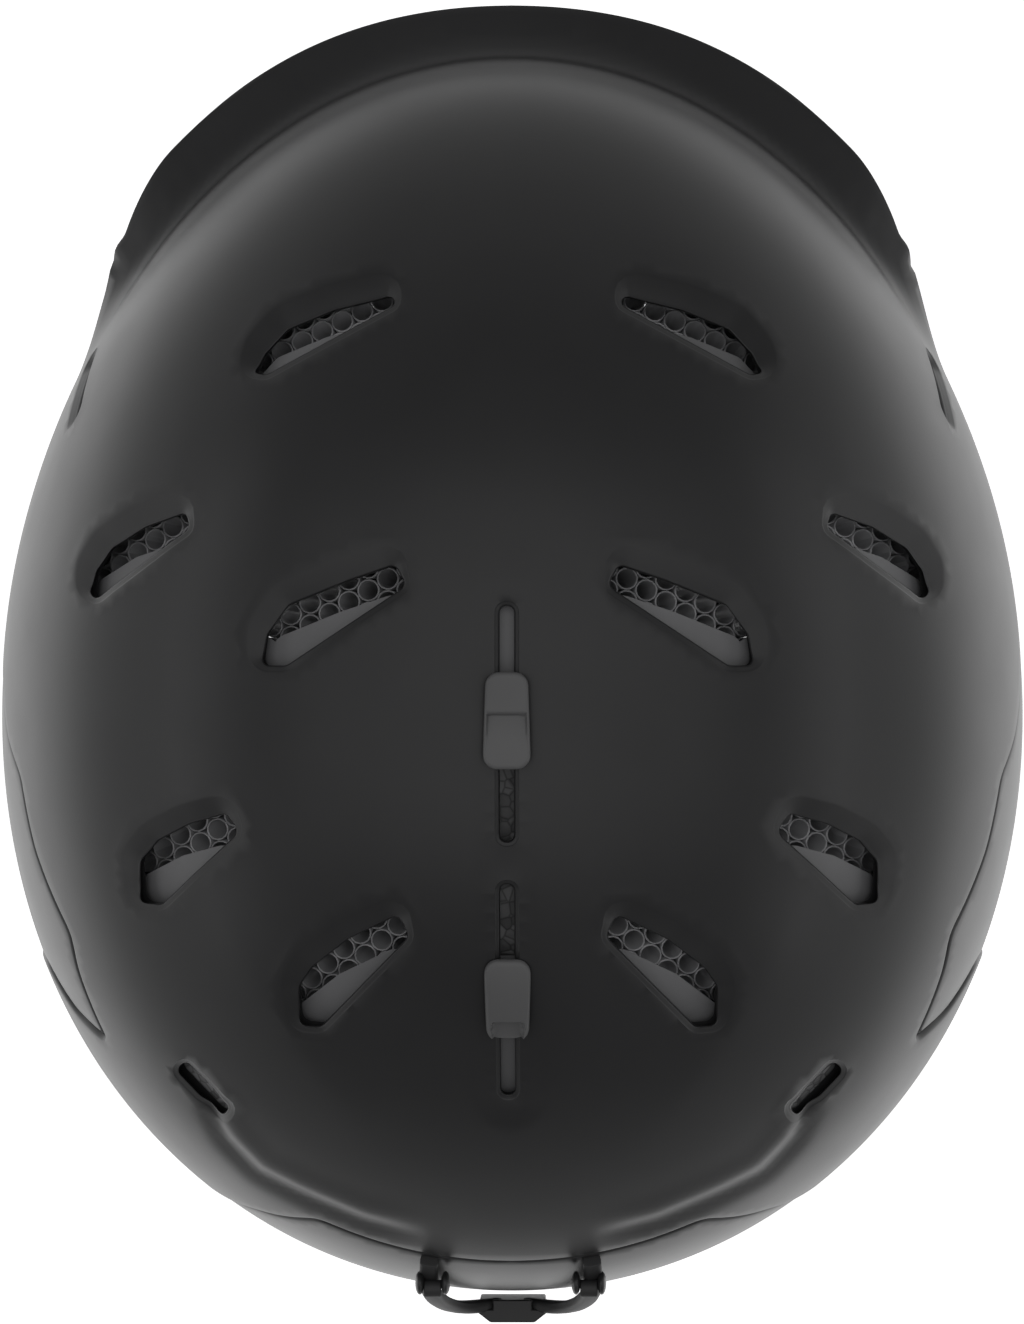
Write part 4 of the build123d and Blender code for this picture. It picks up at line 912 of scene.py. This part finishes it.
# ------------------------------------------------------------------ goggle strap retainer
ARM_PATH = [
    (17.6, 127.5, 0.3), (17.6, 123.0, 1.9), (17.4, 115.0, 2.7), (16.6, 106.0, 3.0), (15.0, 97.0, 3.3),
    (12.9, 90.0, 3.7), (10.2, 84.0, 3.8), (7.0, 80.0, 3.4), (3.0, 78.0, 2.9),
]
ARM_WIDTH, ARM_THICKNESS = 4.2, 2.9
EYELET_SPOT, EYELET_RADIUS, EYELET_HALF = (135.4, 123.0), 1.9, 1.9
CLIP_LOW, CLIP_NOTCH, CLIP_HIGH = 58.0, 78.5, 82.0
CLIP_PLAN = [(7.2, 140.2), (7.7, 143.0), (4.9, 145.2)]
CLIP_NOTCHED = [(4.4, 140.2), (4.4, 142.3), (7.6, 142.4), (7.7, 143.0), (4.9, 145.2)]
CHEEKS = (14.2, 19.8)
CHEEK_SIZE, CHEEK_SETBACK = (1.0, 2.6, 3.4), 1.2
EYELET_X, EYELET_RINGS, EYELET_SIDES = 17, 5, 20


def smooth_path(points, count):
    """A rounded path through rough points of any dimension."""
    points = np.array(points, float)
    ways = np.concatenate([[0], np.cumsum(np.linalg.norm(np.diff(points[:, :2], axis=0), axis=1))])
    wanted = np.linspace(0, ways[-1], count)
    path = np.stack([np.interp(wanted, ways, column) for column in points.T], -1)
    return soften(path, 12)


def sweep(middle, wide_way, thick_way, width, thickness, corners=16):
    """A bar with rounded sides along a path."""
    turn = np.linspace(0, 2 * pi, corners, endpoint=False)
    u = np.sign(np.cos(turn)) * np.abs(np.cos(turn)) ** 0.6 * width / 2
    v = np.sign(np.sin(turn)) * np.abs(np.sin(turn)) ** 0.6 * thickness / 2
    rows = middle[:, None] + wide_way[:, None] * u[None, :, None] + thick_way[:, None] * v[None, :, None]
    return bar(rows)


def prism(plan, low, high):
    """An upright prism over a plan, mirrored across the middle."""
    ring = np.array(plan + [(-x, y) for x, y in plan[::-1]])
    count = len(ring)
    points = np.vstack([np.column_stack([ring, np.full(count, z)]) for z in (low, high)])
    polygons = [(i, (i + 1) % count, count + (i + 1) % count, count + i) for i in range(count)]
    return points * MM, polygons + [tuple(range(count))[::-1], tuple(range(count, 2 * count))]


def eyelet_rows(side):
    """Rings of the barrel that an arm turns on."""
    along = np.linspace(-EYELET_HALF, EYELET_HALF, EYELET_RINGS)
    y, z = (np.full(EYELET_RINGS, v) for v in EYELET_SPOT)
    barrel = np.column_stack([side * EYELET_X + along, y, z])
    y_way, z_way = (np.tile(v, (EYELET_RINGS, 1)) for v in ((0.0, 1.0, 0.0), (0.0, 0.0, 1.0)))
    turn = np.linspace(0, 2 * pi, EYELET_SIDES, endpoint=False)
    ring = y_way[:, None] * np.cos(turn)[None, :, None] + z_way[:, None] * np.sin(turn)[None, :, None]
    return barrel[:, None] + EYELET_RADIUS * ring


def build_retainer():
    """The retainer's two arms with their eyelets, its clip, and the cheeks that the eyelets sit between."""
    parts = []
    for side in (1, -1):
        path = smooth_path([(side * x, z, lift) for x, z, lift in ARM_PATH], 40)
        points, normal = dome(from_rear(path[:, :2]))
        middle = points + normal * path[:, 2:]
        parts.append(sweep(middle, np.cross(normal, headings(middle)), normal, ARM_WIDTH, ARM_THICKNESS))
        parts.append(bar(eyelet_rows(side)))
    strap = make_object("retainer_arms", *join_parts(parts), crease=50)
    fix_normals(strap)
    clip = make_object("retainer_buckle", *join_parts(
        [prism(CLIP_PLAN, CLIP_LOW, CLIP_NOTCH), prism(CLIP_NOTCHED, CLIP_NOTCH, CLIP_HIGH)]), crease=30)
    fix_normals(clip)
    for piece, width in ((clip, 0.45), (strap, 0.25)):
        bevel = piece.modifiers.new("bevel", "BEVEL")
        bevel.width, bevel.segments = width * MM, 2
        bevel.limit_method, bevel.angle_limit = "ANGLE", radians(35)
        apply_modifiers(piece)
    cheeks = []
    for side in (1, -1):
        for x in CHEEKS:
            ball = bmesh.new()
            bmesh.ops.create_uvsphere(ball, u_segments=20, v_segments=12, radius=1.0)
            spot = (side * x, EYELET_SPOT[0] - CHEEK_SETBACK, EYELET_SPOT[1])
            points = np.array([v.co for v in ball.verts]) * CHEEK_SIZE + spot
            cheeks.append((points * MM, [tuple(v.index for v in face.verts) for face in ball.faces]))
            ball.free()
    bases = make_object("retainer_cheeks", *join_parts(cheeks), crease=60)
    return strap, clip, bases


retainer_strap, retainer_clip, retainer_bases = build_retainer()
attach(retainer_strap, "goggle_retainer", "retainer_rubber", "retainer_strap")
attach(retainer_clip, "goggle_retainer", "clip_black", "retainer_clip")
attach(retainer_bases, "helmet", "shell_lower", "retainer_bases", "retainer_pins")


# ------------------------------------------------------------------ materials
def new_material(name):
    material = bpy.data.materials.new(name)
    material.use_nodes = True
    tree = material.node_tree
    return material, tree, tree.nodes["Principled BSDF"], tree.nodes.new("ShaderNodeTexCoord")


def link(tree, start, socket, end, target):
    tree.links.new(start.outputs[socket], end.inputs[target])


def texture(tree, kind, where, socket="Object", **inputs):
    """A texture node of a kind, fed with coordinates, its other inputs set by name."""
    node = tree.nodes.new("ShaderNodeTex" + kind)
    for name, value in inputs.items():
        node.inputs[name].default_value = value
    link(tree, where, socket, node, "Vector")
    return node


def noise(tree, where, scale, detail=3.0):
    return texture(tree, "Noise", where, Scale=scale, Detail=detail, Roughness=0.5)


def finish(tree, shader, gloss, relief_node):
    link(tree, gloss, "Result", shader, "Roughness")
    link(tree, relief_node, "Normal", shader, "Normal")


def ramp(tree, source, socket, low, high, colours):
    node = tree.nodes.new("ShaderNodeValToRGB")
    node.color_ramp.elements[0].position = low
    node.color_ramp.elements[1].position = high
    for element, colour in zip(node.color_ramp.elements, colours):
        element.color = (*colour, 1)
    link(tree, source, socket, node, "Fac")
    return node


def span(tree, source, socket, low, high):
    node = tree.nodes.new("ShaderNodeMapRange")
    node.inputs["To Min"].default_value = low
    node.inputs["To Max"].default_value = high
    link(tree, source, socket, node, "Value")
    return node


def bump(tree, source, socket, strength, distance, before=None):
    node = tree.nodes.new("ShaderNodeBump")
    node.inputs["Strength"].default_value = strength
    node.inputs["Distance"].default_value = distance
    link(tree, source, socket, node, "Height")
    if before:
        link(tree, before, "Normal", node, "Normal")
    return node


def moulded_plastic(name, colour, roughness, grain=1800.0, depth=0.00003, spread=0.06):
    """Plastic with a fine moulded texture, faint colour drift and uneven gloss."""
    material, tree, shader, where = new_material(name)
    drift = noise(tree, where, 18.0)
    light = tuple(min(1.0, c * 1.22) for c in colour)
    dark = tuple(c * 0.84 for c in colour)
    tone = ramp(tree, drift, "Fac", 0.3, 0.7, (dark, light))
    link(tree, tone, "Color", shader, "Base Color")
    gloss = span(tree, noise(tree, where, 60.0, 4.0), "Fac", roughness - spread, roughness + spread)
    finish(tree, shader, gloss, bump(tree, noise(tree, where, grain, 2.0), "Fac", 0.35, depth))
    return material


def woven(name, colour, pitch, depth, sheen, roughness=0.85, fuzz=0.25):
    """Cloth: two crossing sets of threads, with soft fuzz and drifting colour."""
    material, tree, shader, where = new_material(name)
    threads = []
    for direction in ("DIAGONAL", "Z"):
        wave = texture(tree, "Wave", where, Scale=1 / pitch, Distortion=0.6)
        wave.inputs["Detail Scale"].default_value = 2.0
        wave.bands_direction = direction
        threads.append(wave)
    both = tree.nodes.new("ShaderNodeMath")
    both.operation = "MAXIMUM"
    link(tree, threads[0], "Fac", both, 0)
    link(tree, threads[1], "Fac", both, 1)
    dark = tuple(c * 0.6 for c in colour)
    light = tuple(min(1.0, c * 1.35) for c in colour)
    tone = ramp(tree, both, "Value", 0.1, 0.9, (dark, light))
    link(tree, tone, "Color", shader, "Base Color")
    gloss = span(tree, noise(tree, where, 90.0), "Fac", roughness - 0.08, roughness + 0.08)
    shader.inputs["Sheen Weight"].default_value = sheen
    weave = bump(tree, both, "Value", 0.7, depth)
    hair = bump(tree, noise(tree, where, 2500.0, 4.0), "Fac", fuzz, depth * 0.8, before=weave)
    finish(tree, shader, gloss, hair)
    return material


BEADS = 420.0


def beaded_foam(name, colour):
    """Expanded bead foam: fine cells with pale rims, and a speckle of glossier beads."""
    material, tree, shader, where = new_material(name)
    cells = texture(tree, "Voronoi", where, Scale=BEADS)
    cells.feature = "DISTANCE_TO_EDGE"
    tone = ramp(tree, cells, "Distance", 0.0, 0.12, (tuple(c * 0.45 for c in colour), colour))
    speckle = texture(tree, "Voronoi", where, Scale=BEADS)
    mix = tree.nodes.new("ShaderNodeMix")
    mix.data_type = "RGBA"
    mix.blend_type = "MULTIPLY"
    mix.inputs["Factor"].default_value = 0.55
    tree.links.new(tone.outputs["Color"], mix.inputs["A"])
    grey = tree.nodes.new("ShaderNodeSeparateColor")
    tree.links.new(speckle.outputs["Color"], grey.inputs["Color"])
    tree.links.new(grey.outputs["Red"], mix.inputs["B"])
    tree.links.new(mix.outputs["Result"], shader.inputs["Base Color"])
    gloss = span(tree, speckle, "Distance", 0.45, 0.8)
    finish(tree, shader, gloss, bump(tree, cells, "Distance", 0.8, 0.0003))
    return material


def brushed_steel(name):
    material, tree, shader, where = new_material(name)
    shader.inputs["Metallic"].default_value = 1.0
    stretch = tree.nodes.new("ShaderNodeMapping")
    stretch.inputs["Scale"].default_value = (60.0, 2500.0, 2500.0)
    link(tree, where, "Object", stretch, "Vector")
    grain = texture(tree, "Noise", stretch, "Vector", Scale=1.0)
    tone = ramp(tree, grain, "Fac", 0.3, 0.7, ((0.42, 0.42, 0.43), (0.6, 0.6, 0.61)))
    link(tree, tone, "Color", shader, "Base Color")
    finish(tree, shader, span(tree, grain, "Fac", 0.25, 0.42), bump(tree, grain, "Fac", 0.3, 0.00003))
    return material


def open_mesh(name, colour):
    """Fine knitted mesh: dark round eyes in a paler ground."""
    material, tree, shader, where = new_material(name)
    eyes = texture(tree, "Voronoi", where, Scale=650.0, Randomness=0.15)
    tone = ramp(tree, eyes, "Distance", 0.25, 0.45, (tuple(c * 0.15 for c in colour), colour))
    link(tree, tone, "Color", shader, "Base Color")
    finish(tree, shader, span(tree, eyes, "Distance", 0.95, 0.7), bump(tree, eyes, "Distance", 0.8, 0.0003))
    return material


def dress(piece, material):
    piece.data.materials.clear()
    piece.data.materials.append(material)


SLOT_MATERIALS = {
    "shell_black": moulded_plastic("shell_black", (0.021, 0.021, 0.022), 0.37, spread=0.03),
    "shell_lower": moulded_plastic("shell_lower", (0.024, 0.024, 0.025), 0.35, spread=0.03),
    "liner_foam": beaded_foam("liner_foam", (0.3, 0.3, 0.305)),
    "honeycomb": moulded_plastic("honeycomb_plastic", (0.36, 0.36, 0.37), 0.3, grain=900.0),
    "pad_fabric": woven("pad_fabric", (0.035, 0.035, 0.04), 0.0011, 0.00025, 0.25),
    "ear_fabric": woven("ear_fabric", (0.03, 0.03, 0.034), 0.0009, 0.0002, 0.35),
    "webbing": woven("webbing", (0.028, 0.028, 0.03), 0.0014, 0.0004, 0.1, 0.7),
    "fleece": woven("fleece", (0.04, 0.04, 0.044), 0.0016, 0.0003, 0.5, 0.9, 0.9),
    "slider_black": moulded_plastic("slider_black", (0.12, 0.12, 0.122), 0.42),
    "shutter_grey": moulded_plastic("shutter_grey", (0.17, 0.17, 0.175), 0.5),
    "retainer_rubber": moulded_plastic("retainer_rubber", (0.03, 0.03, 0.031), 0.55, 900.0, 0.00006),
    "clip_black": moulded_plastic("clip_black", (0.022, 0.022, 0.023), 0.38),
    "hardware_black": moulded_plastic("hardware_black", (0.022, 0.022, 0.023), 0.34),
    "steel": brushed_steel("steel"),
    "fit_nylon": moulded_plastic("fit_nylon", (0.05, 0.05, 0.052), 0.42),
    "dial_rubber": moulded_plastic("dial_rubber", (0.035, 0.035, 0.036), 0.6, 700.0, 0.00008),
    "acoustic_mesh": open_mesh("acoustic_mesh", (0.05, 0.05, 0.053)),
}


def soft_edges(node, width):
    """Round the sharp edges of a CAD part a little."""
    weld = node.modifiers.new("weld", "WELD")
    weld.merge_threshold = 0.00001
    bevel = node.modifiers.new("bevel", "BEVEL")
    bevel.width = width * MM
    bevel.segments = 2
    bevel.limit_method = "ANGLE"
    bevel.angle_limit = radians(40)


EDGE_WIDTHS = {
    "buckle_socket": 0.5, "buckle_tongue": 0.5, "buckle_release_tab": 0.2, "strap_keeper": 0.4,
    "fit_cradle": 0.3, "dial_cover": 0.4,
    "fit_dial": 0.2, "cradle_rail": 0.3, "strap_splitter_left": 0.5, "strap_splitter_right": 0.5,
    "ear_pad_plate_left": 0.3, "ear_pad_plate_right": 0.3,
}
for row in frame["record"]["subparts"]:
    node = frame["nodes"][row["node"]]
    dress(node, SLOT_MATERIALS[row["material_slot"]])
    if row["node"] in EDGE_WIDTHS:
        soft_edges(node, EDGE_WIDTHS[row["node"]])
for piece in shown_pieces():
    if piece.get("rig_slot"):
        dress(piece, SLOT_MATERIALS[piece["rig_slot"]])


# ------------------------------------------------------------------ camera, light and floor
def look(location, target, up):
    """A rotation that looks from location to target."""
    back = (Vector(location) - Vector(target)).normalized()
    right = Vector(up).cross(back).normalized()
    turn = Matrix((right, back.cross(right), back)).transposed().to_4x4()
    return Matrix.Translation(location) @ turn


def area_light(name, location, target, size, power, up=(0, 0, 1)):
    data = bpy.data.lights.new(name, "AREA")
    data.shape = "RECTANGLE"
    data.size, data.size_y = size
    data.energy = power
    lamp = bpy.data.objects.new(name, data)
    lamp.matrix_world = look(location, target, up)
    bpy.context.scene.collection.objects.link(lamp)


CAMERA_SPOT, CAMERA_TARGET, CAMERA_LENS = (-0.022, -0.0009, 2.6), (0.0001, -0.0009, 0.081), 400.2
LAMPS = {
    "left_strip": ((1.5, 0.1, 0.3), (2.0, 0.4), 2.2),
    "right_strip": ((-1.5, 0.1, 0.3), (2.0, 0.4), 2.2),
    "left_high": ((1.4, 0, 1.4), (2.0, 0.6), 1.8),
    "right_high": ((-1.4, 0, 1.4), (2.0, 0.6), 1.8),
    "front_strip": ((0, -1.7, 0.3), (1.6, 0.3), 0.4),
}


def studio():
    camera = bpy.data.objects.new("camera", bpy.data.cameras.new("camera"))
    camera.data.sensor_fit = "HORIZONTAL"
    camera.data.sensor_width = 36
    camera.data.lens = CAMERA_LENS
    camera.data.clip_end = 20
    camera.matrix_world = look(CAMERA_SPOT, CAMERA_TARGET, (0, -1, 0))
    bpy.context.scene.collection.objects.link(camera)
    bpy.context.scene.camera = camera

    middle = (0, 0, 0.12)
    for name, (location, size, power) in LAMPS.items():
        area_light(name, location, middle, size, power)
    area_light("overhead", (0, 0, 2.3), middle, (3.2, 3.2), 16, up=(0, 1, 0))

    world = bpy.data.worlds.new("studio_air")
    world.use_nodes = True
    sky = world.node_tree.nodes["Background"]
    sky.inputs["Color"].default_value = (0.16, 0.16, 0.16, 1)
    sky.inputs["Strength"].default_value = 1.0
    bpy.context.scene.world = world

    bpy.ops.mesh.primitive_plane_add(size=8, location=(0, 0, -0.0005))
    floor = bpy.context.object
    floor.name = "floor"
    paper, tree, shader, where = new_material("floor_paper")
    shader.inputs["Base Color"].default_value = (0.9, 0.9, 0.9, 1)
    shader.inputs["Roughness"].default_value = 0.7
    shader.inputs["Emission Color"].default_value = (1, 1, 1, 1)
    oval = tree.nodes.new("ShaderNodeVectorMath")
    oval.operation = "MULTIPLY"
    oval.inputs[1].default_value = (0.82, 1.1, 1.0)
    link(tree, where, "Object", oval, 0)
    away = tree.nodes.new("ShaderNodeVectorMath")
    away.operation = "LENGTH"
    link(tree, oval, "Vector", away, 0)
    glow = tree.nodes.new("ShaderNodeMapRange")
    for socket, value in (("From Min", 0.2), ("From Max", 0.3), ("To Min", 0.9), ("To Max", 0.0)):
        glow.inputs[socket].default_value = value
    link(tree, away, "Value", glow, "Value")
    link(tree, glow, "Result", shader, "Emission Strength")
    dress(floor, paper)
    bpy.context.scene.view_settings.view_transform = "Standard"


studio()
